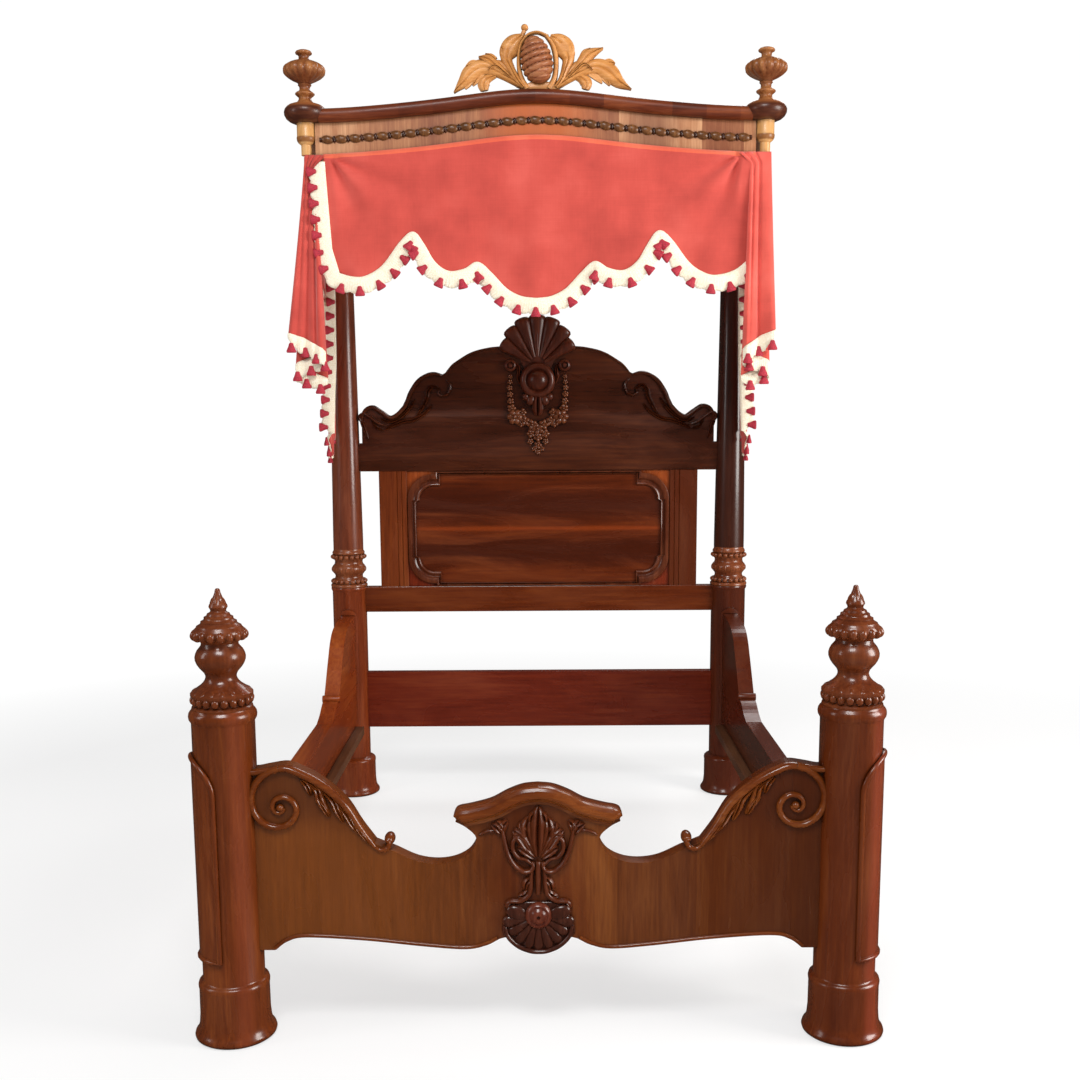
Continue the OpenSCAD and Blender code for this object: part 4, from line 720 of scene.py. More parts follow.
# centre carving and roundel, in drawn units about the middle of the roundel's foot
carving = {"midX": 380, "foot": 805, "stepX": 0.513, "stepZ": 0.59, "z": 215}
leftCarving = [  # points, half width, height; section and ends where they aren't a leaf's
    ([(212, 268), (222, 320), (240, 384), (268, 432), (308, 460), (344, 458), (358, 438), (348, 422)],
     7, 15, roundSection, 0.5, 0.5),
    ([(356, 440), (326, 412), (290, 402), (264, 372), (264, 336), (288, 316), (312, 328), (312, 352),
      (296, 358)], 6.5, 13, roundSection, 0.5, 0.6),
    ([(214, 304), (194, 280), (164, 262)], 12, 12),
    ([(216, 300), (206, 270), (184, 248)], 10, 12),
    ([(218, 300), (218, 270), (240, 248)], 11, 12),
    ([(204, 292), (168, 290), (132, 296), (104, 312)], 4, 7, roundSection, 0.6, 0.3),
    ([(368, 396), (340, 340), (326, 280), (340, 232)], 17, 15),
    ([(366, 402), (328, 352), (296, 312), (262, 288)], 17, 15),
    ([(364, 408), (334, 384), (306, 366), (282, 362)], 13, 14),
    ([(330, 300), (306, 276), (300, 254)], 11, 13),
    ([(312, 330), (284, 312), (258, 310)], 10, 12),
    ([(344, 262), (352, 232), (366, 212)], 9, 13),
    ([(364, 424), (350, 470), (346, 520), (334, 560), (296, 586), (246, 590), (226, 612)],
     7, 14, roundSection, 0.4, 0.5),
    ([(350, 486), (324, 512), (316, 548)], 10, 12),
    ([(344, 530), (318, 560), (286, 570)], 9, 11),
    ([(270, 590), (248, 606), (240, 628)], 9, 11)]
middleCarving = [([(380, 400), (378, 330), (380, 260), (382, 186)], 20, 18),
                 ([(380, 420), (380, 480), (380, 560)], 8, 14, roundSection, 0.7, 0.7)]


def carvedHeight(z):
    return carving["z"] + (carving["foot"] - z) * carving["stepZ"]


def carvedStrand(points, width, height, section=leafSection, tip=0.3, tail=0.12, y=frontFace):
    line = [((x - carving["midX"]) * carving["stepX"], carvedHeight(z)) for x, z in points]
    return strand(line, width, height, y, section, 6, tip, tail)


def centreCarving():
    return joined(bothHands([carvedStrand(*spec) for spec in leftCarving])
                  + [carvedStrand(*spec) for spec in middleCarving])


finishPiece("footboard_carving", centreCarving(), carvedWood, ["footboard_carving"], 45)


disc = {"radius": 91, "z": 282, "squash": 0.74, "pinch": 0.05, "hub": 645, "lobes": 9, "first": -168,
        "pitch": 19.5, "reach": 84}
discBoss = [(0, -12), (31, -12), (33, -4), (31, 4), (26, 8), (21, 7), (19, 8), (16, 13), (10, 16),
            (5, 16), (3, 12), (0, 11)]


def roundel():
    outline = []
    for i in range(72):
        a = math.tau * i / 72
        e = disc["radius"] * (1 - disc["pinch"] * math.cos(5 * (a - math.pi / 2))) / (1 + disc["pinch"])
        outline.append((e * math.cos(a), disc["z"] + disc["squash"] * e * math.sin(a)))
    parts = [slab(outline, frontFace - 9, frontFace + 4, 6, 4)]
    hub = carvedHeight(disc["hub"])
    low = hub - carving["z"] - 4
    for i in range(disc["lobes"]):  # scallops under the boss
        a = math.radians(disc["first"] + disc["pitch"] * i)
        spine = [(t * disc["reach"] * math.cos(a), hub + t * low * math.sin(a))
                 for t in (0.3, 0.5, 0.7, 0.86, 0.96)]
        parts.append(sweep(roundSection, onBoard(spine, frontFace - 8), [5, 9, 12, 13, 8],
                           [5, 8, 10, 9, 5]))
    rim = carvedStrand([(222, 690), (238, 735), (284, 775), (340, 796), (380, 800)], 7, 13,
                       roundSection, 0.6, 1, frontFace - 6)
    ears = [ball((-52, frontFace - 9, hub + 6), (27, 11, 19), (0, 0.35, 0), 20, 12),
            ball((-70, frontFace - 8, hub - 16), (17, 10, 15), (0, 0.2, 0), 20, 12)]
    boss = facing(discBoss, 48, 0, frontFace - 12, hub)
    for face in boss.faces:
        face.material_index = 1
    return joined(parts + bothHands([rim] + ears) + [boss])


finishPiece("footboard_roundel", roundel(), [roundelWood, bossWood], ["footboard_roundel"], 45)
print("footboard done")

# head posts
headProfile = plinth[:-1] + [(76, 145.5), (66, 150), (66, 816), (68, 819), (70, 823), (70.5, 828), (69, 832),
                             (0, 832)]
finishPair("head_post", placed(turned(headProfile, 112), -halfSpan, headY), headPostWood, ["head_post"])
collar = {"pearls": 18, "z": 832}
collarProfile = [(0, 0), (68, 0), (71, 3), (71, 9), (68, 13), (62, 15), (60, 18), (60, 28), (57, 33),
                 (54, 38), (53, 44), (55, 50), (60, 56), (64, 62), (66, 70), (65, 78), (61, 85), (56, 90),
                 (54, 96), (54, 104), (57, 108), (58, 112), (58, 128), (62, 131), (63, 135), (61, 140),
                 (58, 144), (58, 150), (0, 150)]


def postCollar():
    z, pearls = collar["z"], collar["pearls"]
    parts = [turned([(x, z + step) for x, step in collarProfile], 96)]
    parts += ring(pearls, 62, z + 23, (9.2, 9.2, 9.2), shift=0.5)
    parts += ring(pearls, 61, z + 119, (9, 9, 9), shift=0.5)
    parts += ring(pearls, 60, z + 70, (8, 6.5, 12), shift=0.5, u=10)
    return placed(joined(parts), -halfSpan, headY)


finishPair("head_collar", postCollar(), collarWood, ["head_collar"])
upper = {"foot": 982, "taperFrom": 1022, "top": 2433, "thick": 58, "thin": 42}
upperProfile = [(0, upper["foot"]), (upper["thick"], upper["foot"]), (upper["thick"], upper["taperFrom"]),
                (upper["thin"], upper["top"]), (0, upper["top"])]
finishPair("upper_post", placed(turned(upperProfile, 96), -halfSpan, headY), upperPostWood, ["upper_post"])
setMaterial("head_post_bead_left", headPostWood)
setMaterial("head_post_bead_right", headPostWood)

# headboard
crest = {"half": 699, "height": 474, "z": 1282, "thick": 36}
crestFace = headY - crest["thick"] / 2
crestKeysLow = [(-1, 0), (-1, 0.228), (-0.97, 0.228)]
crestKeysEar = [(-0.97, 0.4), (-0.965, 0.462), (-0.945, 0.515), (-0.905, 0.534), (-0.855, 0.49),
                (-0.812, 0.449), (-0.77, 0.475), (-0.731, 0.534)]
crestKeysVolute = [(-0.712, 0.59), (-0.697, 0.646), (-0.658, 0.735), (-0.61, 0.785),
                   (-0.564, 0.797), (-0.52, 0.778)]
crestKeysTop = [(-0.505, 0.79), (-0.47, 0.85), (-0.4375, 0.885), (-0.3665, 0.947), (-0.29, 0.981),
                (-0.2, 0.997), (0, 1)]
earLeaves = [  # points, half width, height and section, in drawn units from the board's lower corner
    ([(452, 262), (420, 240), (392, 262), (384, 300), (352, 360), (330, 392)], 9, 13, leafSection),
    ([(478, 208), (500, 236), (488, 275), (460, 288), (440, 274), (450, 256)], 6, 11, roundSection),
    ([(410, 330), (372, 372), (318, 402), (262, 412), (206, 436), (180, 452)], 9, 11, leafSection),
    ([(330, 300), (296, 352), (246, 396), (196, 410), (160, 396)], 8, 12, leafSection),
    ([(190, 432), (150, 420), (112, 392), (80, 372), (58, 386), (64, 408), (82, 410)],
     7, 12, roundSection),
    ([(62, 398), (78, 440), (98, 500)], 8, 9, leafSection),
    ([(118, 410), (140, 440), (176, 452)], 6, 9, leafSection)]
earDrawing = {"x": 40, "z": 655, "stepX": 0.795, "stepZ": 0.78}


def onCrest(keys, steps=5):
    line = smoothCurve(keys, steps) if steps else keys
    return [(q[0] * crest["half"], crest["z"] + q[1] * crest["height"]) for q in line]


def crestBoard():
    left = onCrest(crestKeysLow, 0) + onCrest(crestKeysEar) + onCrest(crestKeysVolute) \
        + onCrest(crestKeysTop)
    plate = slab(mirrorLine(left), crestFace, headY + crest["thick"] / 2, 3, 3, True)
    edge = [(x, z - 8) for x, z in onCrest(crestKeysEar)[2:] + onCrest(crestKeysVolute)]
    top = [(x, z - 5) for x, z in onCrest(crestKeysTop) if x < -110]
    carved = [strand(edge, 9, 13, crestFace, roundSection, 1, 0.5, 0.4),
              strand(top, 5, 5, crestFace, roundSection, 1, 0.5, 0.8)]
    for points, width, height, section in earLeaves:
        line = [(-crest["half"] + (x - earDrawing["x"]) * earDrawing["stepX"],
                 crest["z"] + (earDrawing["z"] - z) * earDrawing["stepZ"]) for x, z in points]
        carved.append(strand(line, width, height, crestFace, section, 6, 0.3, 0.1))
    return joined([plate] + bothHands(carved))


finishPiece("headboard_crest", crestBoard(), crestWood, ["headboard_crest"], 40)

# fan of seven lobes over a turned boss, with a tongue, rolls and pendants beside it
shell = {"radius": 140, "hinge": 1676, "boss": 1626, "ribs": 7, "pitch": 18.5, "rollX": 103}
bossProfile = [(0, 0), (67, 0), (68, 6), (66, 14), (61, 22), (53, 26), (47, 25), (43, 21), (40, 20),
               (38, 22), (34, 31), (27, 39), (17, 44), (8, 46), (0, 46)]
rollProfile = [(0, 0), (23, 0), (23, 12), (20, 20), (15, 22), (11, 17), (9, 17), (7, 22), (0, 24)]


def fanPoint(degrees, share=1):
    reach = share * shell["radius"] * (0.88 + 0.53 * math.sin(math.radians(degrees)))
    return reach * math.cos(math.radians(degrees)), shell["hinge"] + reach * math.sin(math.radians(degrees))


def shellCarving():
    start = 90 - shell["ribs"] * shell["pitch"] / 2
    rim = [fanPoint(start + shell["pitch"] * i / 8, 0.9 + 0.08 * abs(math.sin(math.pi * i / 8)))
           for i in range(8 * shell["ribs"] + 1)]
    rim += [(x, shell["hinge"] + z) for x, z in ((-66, 28), (-42, -28), (42, -28), (66, 28))]
    parts = [slab(rim, crestFace - 7, crestFace + 8, 2)]
    grow = [0.22, 0.38, 0.55, 0.72, 0.88, 1, 0.97, 0.75, 0.35]
    for i in range(shell["ribs"]):
        angle = start + (i + 0.5) * shell["pitch"]
        spine = [fanPoint(angle, t) for t in (0.2, 0.35, 0.5, 0.65, 0.78, 0.88, 0.95, 0.985, 1)]
        wide = 0.163 * math.dist(spine[-1], (0, shell["hinge"]))
        parts.append(sweep(roundSection, onBoard(spine, crestFace - 4), [wide * g for g in grow],
                           [15 * g + 5 for g in grow]))
        parts.append(sweep(roundSection, onBoard(spine[1:-1], crestFace - 15), 2.5,
                           [7 * g for g in grow[1:-1]]))
    down = shell["boss"]
    tongue = [(0, down - drop) for drop in (58, 88, 112, 134)]
    parts += [facing(bossProfile, 64, 0, crestFace, down),
              strand(tongue, 22, 26, crestFace, leafSection, 6, 0.8, 0.35)]
    sides = [facing(rollProfile, 32, -shell["rollX"], crestFace, shell["hinge"] + 6),
             strand([(-82, 1690), (-72, 1668), (-74, 1640), (-66, 1610)], 8, 18, crestFace, leafSection),
             ball((-26, crestFace - 8, down - 74), (17, 14, 22), (0, 0.3, 0)),
             ball((-46, crestFace - 6, down - 62), (13, 12, 15))]
    return joined(parts + bothHands(sides))


finishPiece("headboard_shell", shellCarving(), shellWood, ["headboard_shell"], 50)

# festoon of flowers that hangs from the rolls and meets under the shell: x, height, radius
flowers = [(-88, 1488, 29), (-60, 1504, 17), (-100, 1520, 17), (-104, 1548, 13), (-106, 1574, 12),
           (-107, 1598, 11), (-106, 1620, 10), (-104, 1640, 9), (-50, 1472, 19), (-22, 1458, 20),
           (0, 1442, 23), (-64, 1462, 14), (-27, 1424, 17), (0, 1410, 18), (-29, 1394, 13),
           (0, 1380, 15), (-14, 1366, 11), (0, 1354, 11)]


def festoonCarving():
    parts = []
    for x, z, r in flowers:
        petals = 6 if r > 26 else 5
        bloom = [ball((x, crestFace - 7, z), (0.34 * r, 0.78 * r, 0.34 * r))]
        for k in range(petals):
            a = math.tau * (k + 0.3) / petals + 0.7 * z
            bloom.append(ball((x + 0.56 * r * math.cos(a), crestFace - 3, z + 0.56 * r * math.sin(a)),
                              (0.54 * r, 0.62 * r, 0.46 * r), (0, -a, 0)))
        parts += bloom + [mirrored(part) for part in bloom if x]
    return joined(parts)


finishPiece("headboard_festoon", festoonCarving(), festoonWood, ["headboard_festoon"], 50)

# plain stiles with two fine grooves
stile = {"outer": 617, "inner": 509, "z": 832, "top": 1282, "grooves": (38, 20), "groove": 2.5}


def stileBoard():
    x0, x1, front, back = -stile["outer"], -stile["inner"], crestFace, crestFace + crest["thick"]
    profile = [(x0, back), (x0, front + 1), (x0 + 1, front)]
    for groove in stile["grooves"]:
        profile += [(x1 - groove - 2, front), (x1 - groove, front + stile["groove"]),
                    (x1 - groove + 2, front)]
    profile += [(x1 - 3, front), (x1, front + 3), (x1, back)]
    bm = bmesh.new()
    face = bm.faces.new([bm.verts.new((x, y, stile["z"])) for x, y in profile])
    made = bmesh.ops.extrude_face_region(bm, geom=[face])["geom"]
    bmesh.ops.translate(bm, verts=[g for g in made if isinstance(g, bmesh.types.BMVert)],
                        vec=(0, 0, stile["top"] - stile["z"]))
    bmesh.ops.recalc_face_normals(bm, faces=bm.faces)
    return bm


finishPair("headboard_stile", stileBoard(), stileWood, ["headboard_stile"], 30)

# raised moulding: rounded corners that step into thin bands, and tinted spandrels outside them
moulding = {"half": 507, "tall": 223, "mid": 1057, "wide": 46, "strip": 32, "thin": 12,
            "round": 100, "step": 10, "ledge": 4, "notch": 8, "notchIn": 18}
panelFace = headY - 8
mouldProfile = [(0, 0), (0, 11), (0.06, 13), (0.22, 13.5), (0.42, 11), (0.52, 6), (0.6, 4), (0.7, 4.5),
                (0.78, 8), (0.88, 9.5), (0.96, 7.5), (1, 4), (1, 0)]


def mouldingLoop(share):  # 0 at the outer edge, 1 at the inner edge
    x, top, r = moulding["half"] - moulding["round"], moulding["tall"], moulding["round"]
    low, small = top - moulding["step"], r - share * moulding["wide"]
    ledge, notch = moulding["ledge"] * (1 + share), moulding["notch"] + moulding["notchIn"] * share
    corner = [(moulding["half"] - share * moulding["strip"], low - r - ledge)]
    corner += [(x + small * math.cos(math.radians(a)), low - r + small * math.sin(math.radians(a)))
               for a in range(0, 91, 6)]
    corner += [(x - notch, low - share * moulding["wide"]), (x - notch, top - share * moulding["thin"])]
    upper = corner + [(-px, pz) for px, pz in reversed(corner)]
    return upper + [(-px, -pz) for px, pz in upper]


def panelMoulding():
    bm = bmesh.new()
    rings = []
    for share, height in mouldProfile:
        verts = [bm.verts.new((x, panelFace - height, moulding["mid"] + z)) for x, z in mouldingLoop(share)]
        rings.append([bm.edges.new((verts[i - 1], verts[i])) for i in range(len(verts))])
    for i in range(len(rings)):
        bmesh.ops.bridge_loops(bm, edges=rings[i - 1] + rings[i])
    bmesh.ops.recalc_face_normals(bm, faces=bm.faces)
    return bm


finishPiece("panel_moulding", panelMoulding(), carvedWood, ["panel_moulding"], 30)


spandrel = {"inner": 399, "outer": 509, "top": 225, "low": 113}


def spandrels():  # orange veneer above, redder veneer below
    corner = mouldingLoop(0)[1:18] + [(spandrel["inner"], spandrel["top"]),
                                      (spandrel["outer"], spandrel["top"]),
                                      (spandrel["outer"], spandrel["low"])]
    parts = []
    for sx in (-1, 1):
        for sz in (-1, 1):
            flat = slab([(sx * x, moulding["mid"] + sz * z) for x, z in corner],
                        panelFace - 1, panelFace + 1)
            for face in flat.faces:
                face.material_index = 0 if sz > 0 else 1
            parts.append(flat)
    return joined(parts)


finishPiece("panel_spandrels", spandrels(), [spandrelWood, lowSpandrelWood])
print("headboard done")

# canopy
canopy = {"z": 2330, "frieze": 103, "rise": 57, "half": 714.5}
cornice = {"half": 700, "tall": 43, "sideFrom": 385, "sideTo": 956}
friezeTop = canopy["z"] + canopy["frieze"]


def riseAt(u):  # the arch of the front, from the middle (0) to the corners (1)
    return canopy["rise"] * (0.5 + 0.5 * math.cos(math.pi * abs(u))) \
        * (1 - 0.18 * math.sin(math.pi * u) ** 2)


def archLine(y, z, count):
    places = [cornice["half"] * (2 * i / count - 1) for i in range(count + 1)]
    return [(x, y, z + riseAt(x / canopy["half"])) for x in places]


# across the section runs from the back to the front, up it from the frieze
corniceSection = [(-19, 0), (16, 0), (24, 1), (31, 4), (37, 10), (40, 18), (40.5, 26), (37, 34), (30, 40),
                  (21, 43), (-10, 43), (-19, 40)]


frontCornice = sweep(corniceSection, archLine(canopyY, friezeTop, 64), 1, 1, (0, 0, 1))
finishPiece("cornice_front", frontCornice, corniceWood, ["cornice_front"], 50)
sideCornice = sweep([(-a, b) for a, b in corniceSection],
                    [(-halfSpan, cornice[end], friezeTop) for end in ("sideFrom", "sideTo")],
                    1, 1, (0, 0, 1))
finishPair("cornice", sideCornice, corniceWood, ["cornice"], 50)

beading = {"count": 31, "pitch": 45, "z": canopy["z"] + 51, "twist": 0.16, "long": (20, 9, 13),
           "short": (5, 7, 11)}


def friezeBeading():  # long beads with short ones between them, on a dark strip that paints the shade in the gaps
    strip = sweep(roundSection, archLine(canopyY - 10, beading["z"], 90), 7.5, 6)
    for face in strip.faces:
        face.material_index = 1
    parts = [strip]
    for i in range(beading["count"] * 2 - 1):
        x = (i - beading["count"] + 1) * beading["pitch"] / 2
        u, short = x / canopy["half"], i % 2
        slope = math.atan((riseAt(u + 0.01) - riseAt(u - 0.01)) / (0.02 * canopy["half"]))
        bead = ball((x, canopyY - 12, beading["z"] + riseAt(u)), beading["short" if short else "long"],
                    (0, (0 if short else beading["twist"]) - slope, 0), 14, 10)
        for face in bead.faces:
            face.material_index = short
        parts.append(bead)
    return joined(parts)


finishPiece("frieze_beading", friezeBeading(), [beadWood, darkStrip], ["frieze_beading"])

blockProfile = [(0, 4), (17, 4), (17, 36), (20, 38), (26, 43), (30, 50), (31, 57), (30.5, 61),
                (29.5, 63), (29.5, 103), (40, 104), (52, 109), (62, 117), (68, 128), (69, 138), (66, 147),
                (60, 154), (53, 159), (45, 162), (36, 164), (30, 165), (0, 165)]


def cornerBlock():
    bm = placed(turned(blockProfile, 64), -halfSpan, canopyY, canopy["z"])
    for face in bm.faces:  # the drum stands beside the frieze and the disc above it
        face.material_index = 1 if face.calc_center_median().z > friezeTop else 0
    return bm


finishPair("corner_block", cornerBlock(), [drumWood, discWood], ["corner_block"])

urnProfile = [(0, 0), (30, 0), (27, 4), (23, 8), (20.5, 13), (20, 18), (24, 22), (29, 26), (31.5, 29),
              (31, 32), (27, 35), (20, 39), (17, 43), (17, 50), (19, 54), (22, 57), (20, 61), (24, 65),
              (32, 69), (42, 74), (51, 80), (58, 87), (63, 94), (64.5, 102), (63, 110), (58, 117),
              (49, 123), (38, 128), (27, 132), (18, 135), (16.5, 139), (16.5, 146), (20, 150), (26, 153),
              (27, 157), (24, 161), (17, 164), (8, 166), (0, 166)]
urn = {"foot": 165, "low": 62, "high": 134, "lobes": 16}


def cornerFinial():
    bm = turned(urnProfile, 112)
    for v in bm.verts:  # gadroons on the bowl
        if urn["low"] < v.co.z < urn["high"]:
            a = math.atan2(v.co.y, v.co.x)
            swell = math.sin(math.pi * (v.co.z - urn["low"]) / (urn["high"] - urn["low"]))
            grow = 1 + swell * (0.12 * abs(math.cos(urn["lobes"] / 2 * a)) ** 0.8 - 0.05)
            v.co.x, v.co.y = v.co.x * grow, v.co.y * grow
    return placed(bm, -halfSpan, canopyY, canopy["z"] + urn["foot"])


finishPair("corner_finial", cornerFinial(), urnWood, ["corner_finial"], 60)

# crest: acanthus leaves round a tilted, ribbed nut, in drawn units of stepX by stepZ mm
crown = {"base": friezeTop + cornice["tall"] + canopy["rise"], "midX": 470, "foot": 352,
         "stepX": 0.674, "stepZ": 0.618, "leanX": 13, "fuller": 1.16}
broadSection = [(1, -0.2), (1, 0.15), (0.84, 0.5), (0.56, 0.82), (0.24, 0.96), (0, 0.74), (-0.24, 0.96),
                (-0.56, 0.82), (-0.84, 0.5), (-1, 0.15), (-1, -0.2)]
crownLeaves = [  # points, half widths at the points, height, depth
    ([(398, 346), (340, 303), (270, 262), (200, 240), (145, 268), (108, 312), (62, 364)],
     [10, 16, 22, 32, 36, 24, 3], 16, 0),
    ([(196, 262), (172, 296), (152, 330)], [16, 16, 3], 12, 3),
    ([(150, 286), (132, 318), (116, 346)], [14, 13, 3], 11, 4),
    ([(176, 226), (148, 224), (120, 236)], [16, 16, 4], 12, 2),
    ([(320, 282), (268, 240), (226, 202), (182, 190)], [10, 20, 21, 3], 14, -3),
    ([(262, 204), (240, 186), (214, 174)], [12, 12, 3], 12, -1),
    ([(372, 330), (320, 270), (284, 232), (250, 214)], [12, 20, 22, 8], 12, -1),
    ([(228, 262), (246, 240), (268, 238), (296, 262), (330, 292)], [4, 7, 8, 8, 6], 19, -2),
    ([(394, 344), (364, 303), (336, 250), (316, 200), (328, 155), (354, 116), (390, 86)],
     [10, 14, 17, 25, 38, 32, 10], 15, -5),
    ([(318, 196), (300, 168), (290, 140)], [20, 18, 5], 13, -4),
    ([(336, 150), (322, 126), (326, 104)], [20, 17, 5], 13, -4),
    ([(262, 282), (222, 296), (204, 322), (208, 356)], [8, 19, 26, 16], 12, 1),
    ([(548, 346), (604, 303), (672, 262), (742, 240), (802, 268), (852, 318), (910, 354)],
     [10, 16, 22, 32, 38, 24, 3], 16, 0),
    ([(762, 262), (792, 302), (806, 334)], [16, 16, 3], 12, 3),
    ([(712, 270), (748, 296), (770, 322)], [12, 12, 3], 11, 4),
    ([(780, 234), (806, 220), (832, 226)], [18, 16, 4], 12, 2),
    ([(624, 284), (664, 232), (706, 182), (774, 150)], [10, 20, 24, 3], 14, -3),
    ([(672, 204), (690, 170), (714, 150)], [14, 14, 3], 12, -1),
    ([(572, 330), (612, 282), (650, 240), (690, 212)], [12, 20, 22, 8], 12, -1),
    ([(724, 262), (700, 236), (678, 232), (650, 258), (612, 294)], [4, 7, 8, 8, 6], 19, -2),
    ([(550, 344), (578, 300), (596, 250), (608, 200), (592, 150), (562, 114), (524, 92)],
     [10, 14, 18, 26, 40, 32, 10], 15, -5),
    ([(604, 196), (622, 170), (624, 146)], [20, 18, 5], 13, -4),
    ([(588, 150), (600, 122), (590, 100)], [20, 17, 5], 13, -4),
    ([(622, 284), (668, 294), (694, 320), (690, 352)], [8, 19, 25, 15], 12, 1)]
crownRims = [  # the stems that frame the nut
    ([(412, 350), (388, 305), (374, 245), (374, 180), (386, 126), (410, 92)],
     [18, 14, 11, 10, 10, 9]),
    ([(516, 350), (540, 305), (550, 245), (548, 185), (534, 130), (504, 90)],
     [18, 15, 13, 14, 14, 9]),
    ([(400, 98), (428, 78), (466, 72), (512, 92)], [9, 8, 8, 9])]
crownCup = [(392, 356), (554, 356), (546, 330), (520, 316), (474, 310), (428, 316), (402, 330)]
crownBud = [(384, 112), (388, 92), (394, 74), (400, 60)]


def onCrown(points, depth=0):
    return [((q[0] - crown["midX"]) * crown["stepX"] + crown["leanX"], canopyY - 4 + depth,
             crown["base"] + (crown["foot"] - q[1]) * crown["stepZ"]) for q in points]


def crownWidths(widths, fuller=1.0, least=0.0):
    return [max(w[0], least) * fuller * crown["stepX"] for w in smoothCurve([(w, 0) for w in widths], 6)]


def crestLeaves():
    parts = []
    for points, widths, height, depth in crownLeaves:  # each leaf is carved on both sides
        line = smoothCurve(points, 6)
        size = crownWidths(widths, crown["fuller"], 1.5)
        for out in (-1, 1):
            parts.append(sweep(broadSection, onCrown(line, -out * depth), size, height, (0, out, 0)))
    for points, widths in crownRims:
        parts.append(sweep(tubeSection, onCrown(smoothCurve(points, 6), -4), crownWidths(widths), 14))
    parts += [sweep(tubeSection, onCrown(crownBud, -3), [9, 8, 7, 7], [9, 8, 7, 7]),
              ball(onCrown([(402, 46)], -3)[0], (12, 12, 11), u=20, v=14),
              slab([(x, z) for x, y, z in onCrown(crownCup)], canopyY - 18, canopyY + 14, 6, 3, True)]
    return joined(parts)


finishPiece("crest_leaves", crestLeaves(), oakWood, ["crest_leaves"], 50)
nut = {"tall": 75, "wide": 50, "rib": 19, "slant": 8, "lean": 12, "x": 4, "z": 88}


def ribbedNut():
    steps, tall, slant = 120, nut["tall"], math.radians(nut["slant"])
    angles = [math.radians(-90 + 180 * i / steps) for i in range(steps + 1)]
    bm = turned([(max(nut["wide"] * math.cos(a) * (1 - 0.08 * math.sin(a)), 0), tall * math.sin(a))
                 for a in angles], 88)
    for v in bm.verts:  # slanting ribs that die away at the ends
        h = v.co.z * math.cos(slant) - v.co.x * math.sin(slant)
        wave = abs(math.sin(math.pi * (h + tall) / nut["rib"])) ** 0.6
        grow = 1 + (0.17 * wave - 0.12) * (1 - (abs(v.co.z) / (tall + 4)) ** 6)
        v.co.x, v.co.y = v.co.x * grow, v.co.y * grow
    bmesh.ops.rotate(bm, verts=bm.verts, cent=(0, 0, 0),
                     matrix=Matrix.Rotation(math.radians(-nut["lean"]), 3, "Y"))
    return placed(bm, nut["x"], canopyY - 16, crown["base"] + nut["z"])


finishPiece("crest_nut", ribbedNut(), nutWood, ["crest_nut"], 70)
print("canopy frame done")

# drapery
cloth = {"y": 344.7, "drop": 465, "head": 5, "fold": 14}
valanceEdge = smoothCurve([  # share of the half width, share of the drop
    (0, 1), (0.07, 0.985), (0.14, 0.93), (0.21, 0.82), (0.27, 0.746), (0.33, 0.795), (0.405, 0.81),
    (0.47, 0.745), (0.52, 0.62), (0.565, 0.538), (0.62, 0.6), (0.7, 0.755), (0.77, 0.83),
    (0.83, 0.848), (0.92, 0.81), (1, 0.71)], 6)


def gridSheet(columns, rows, place):  # a bmesh grid moved to place(u, v)
    bm = bmesh.new()
    bmesh.ops.create_grid(bm, x_segments=columns, y_segments=rows, size=0.5)
    for v in bm.verts:
        v.co = Vector(place(v.co.x + 0.5, 0.5 - v.co.y))
    return bm


def thicken(piece, amount):
    skin = piece.modifiers.new("cloth", "SOLIDIFY")
    skin.thickness, skin.offset = amount * mm, 0
    return piece


fringe = {"deep": 55, "attach": 5, "rope": 7.2, "lip": 29, "gap": 50, "knot": 24, "tall": 31,
          "wide": 16.5}
bellProfile = [(0, 0), (0.3, -0.02), (0.46, -0.12), (0.52, -0.28), (0.68, -0.5), (0.92, -0.76),
               (1, -0.94), (0.86, -1.04), (0, -1.02)]


# band and tassels along an edge; faceOut is the side that shows, and the fringe hangs at right
# angles to the edge unless down is given
def edgeFringe(line, faceOut, down=None, first=30, flare=0, hang=(1, 1), deep=1):
    points, show = [Vector(p) for p in line], Vector(faceOut)
    reach = [0]
    for a, b in zip(points, points[1:]):
        reach.append(reach[-1] + (b - a).length)
    total = reach[-1]

    def at(s):
        s = min(max(s, 0), total)
        i = 0
        while i < len(points) - 2 and s > reach[i + 1]:
            i += 1
        return points[i].lerp(points[i + 1], (s - reach[i]) / max(reach[i + 1] - reach[i], 1e-6))

    def fallAt(s):
        along = (at(s + 20) - at(s - 20)).normalized()
        return Vector(down) if down else along.cross(show).normalized()

    def place(u, v):
        s = u * total
        lip = 0.9 + 0.1 * abs(math.sin(math.pi * s / fringe["lip"]))
        ends = min(1, 0.35 + s / 60, 0.35 + (total - s) / 60)
        rope = 1.5 * math.sin(math.tau * s / fringe["rope"]) * (0.3 + 0.7 * v)
        puff = 4 * math.sin(math.pi * min(1, v * 1.15)) + rope + flare * v * v
        return at(s) + fallAt(s) * (fringe["deep"] * deep * v * lip * ends - fringe["attach"]) \
            + show * (3 + puff)

    band = gridSheet(int(total / 2.4), 6, place)
    tassels = []
    s = first
    while s < total - 6:
        fall = fallAt(s)
        bell = turned([(x * fringe["wide"], z * fringe["tall"]) for x, z in bellProfile], 10)
        side = show.cross(fall).normalized()
        turn = Matrix((side, show * 0.6, -fall)).transposed().to_4x4()
        low = fringe["knot"] * (hang[0] + (hang[1] - hang[0]) * s / total)
        spot = at(s) + fall * low + show * (9 + 0.5 * flare)
        bmesh.ops.transform(bell, matrix=Matrix.Translation(spot) @ turn, verts=bell.verts)
        tassels.append(bell)
        s += fringe["gap"]
    return band, tassels


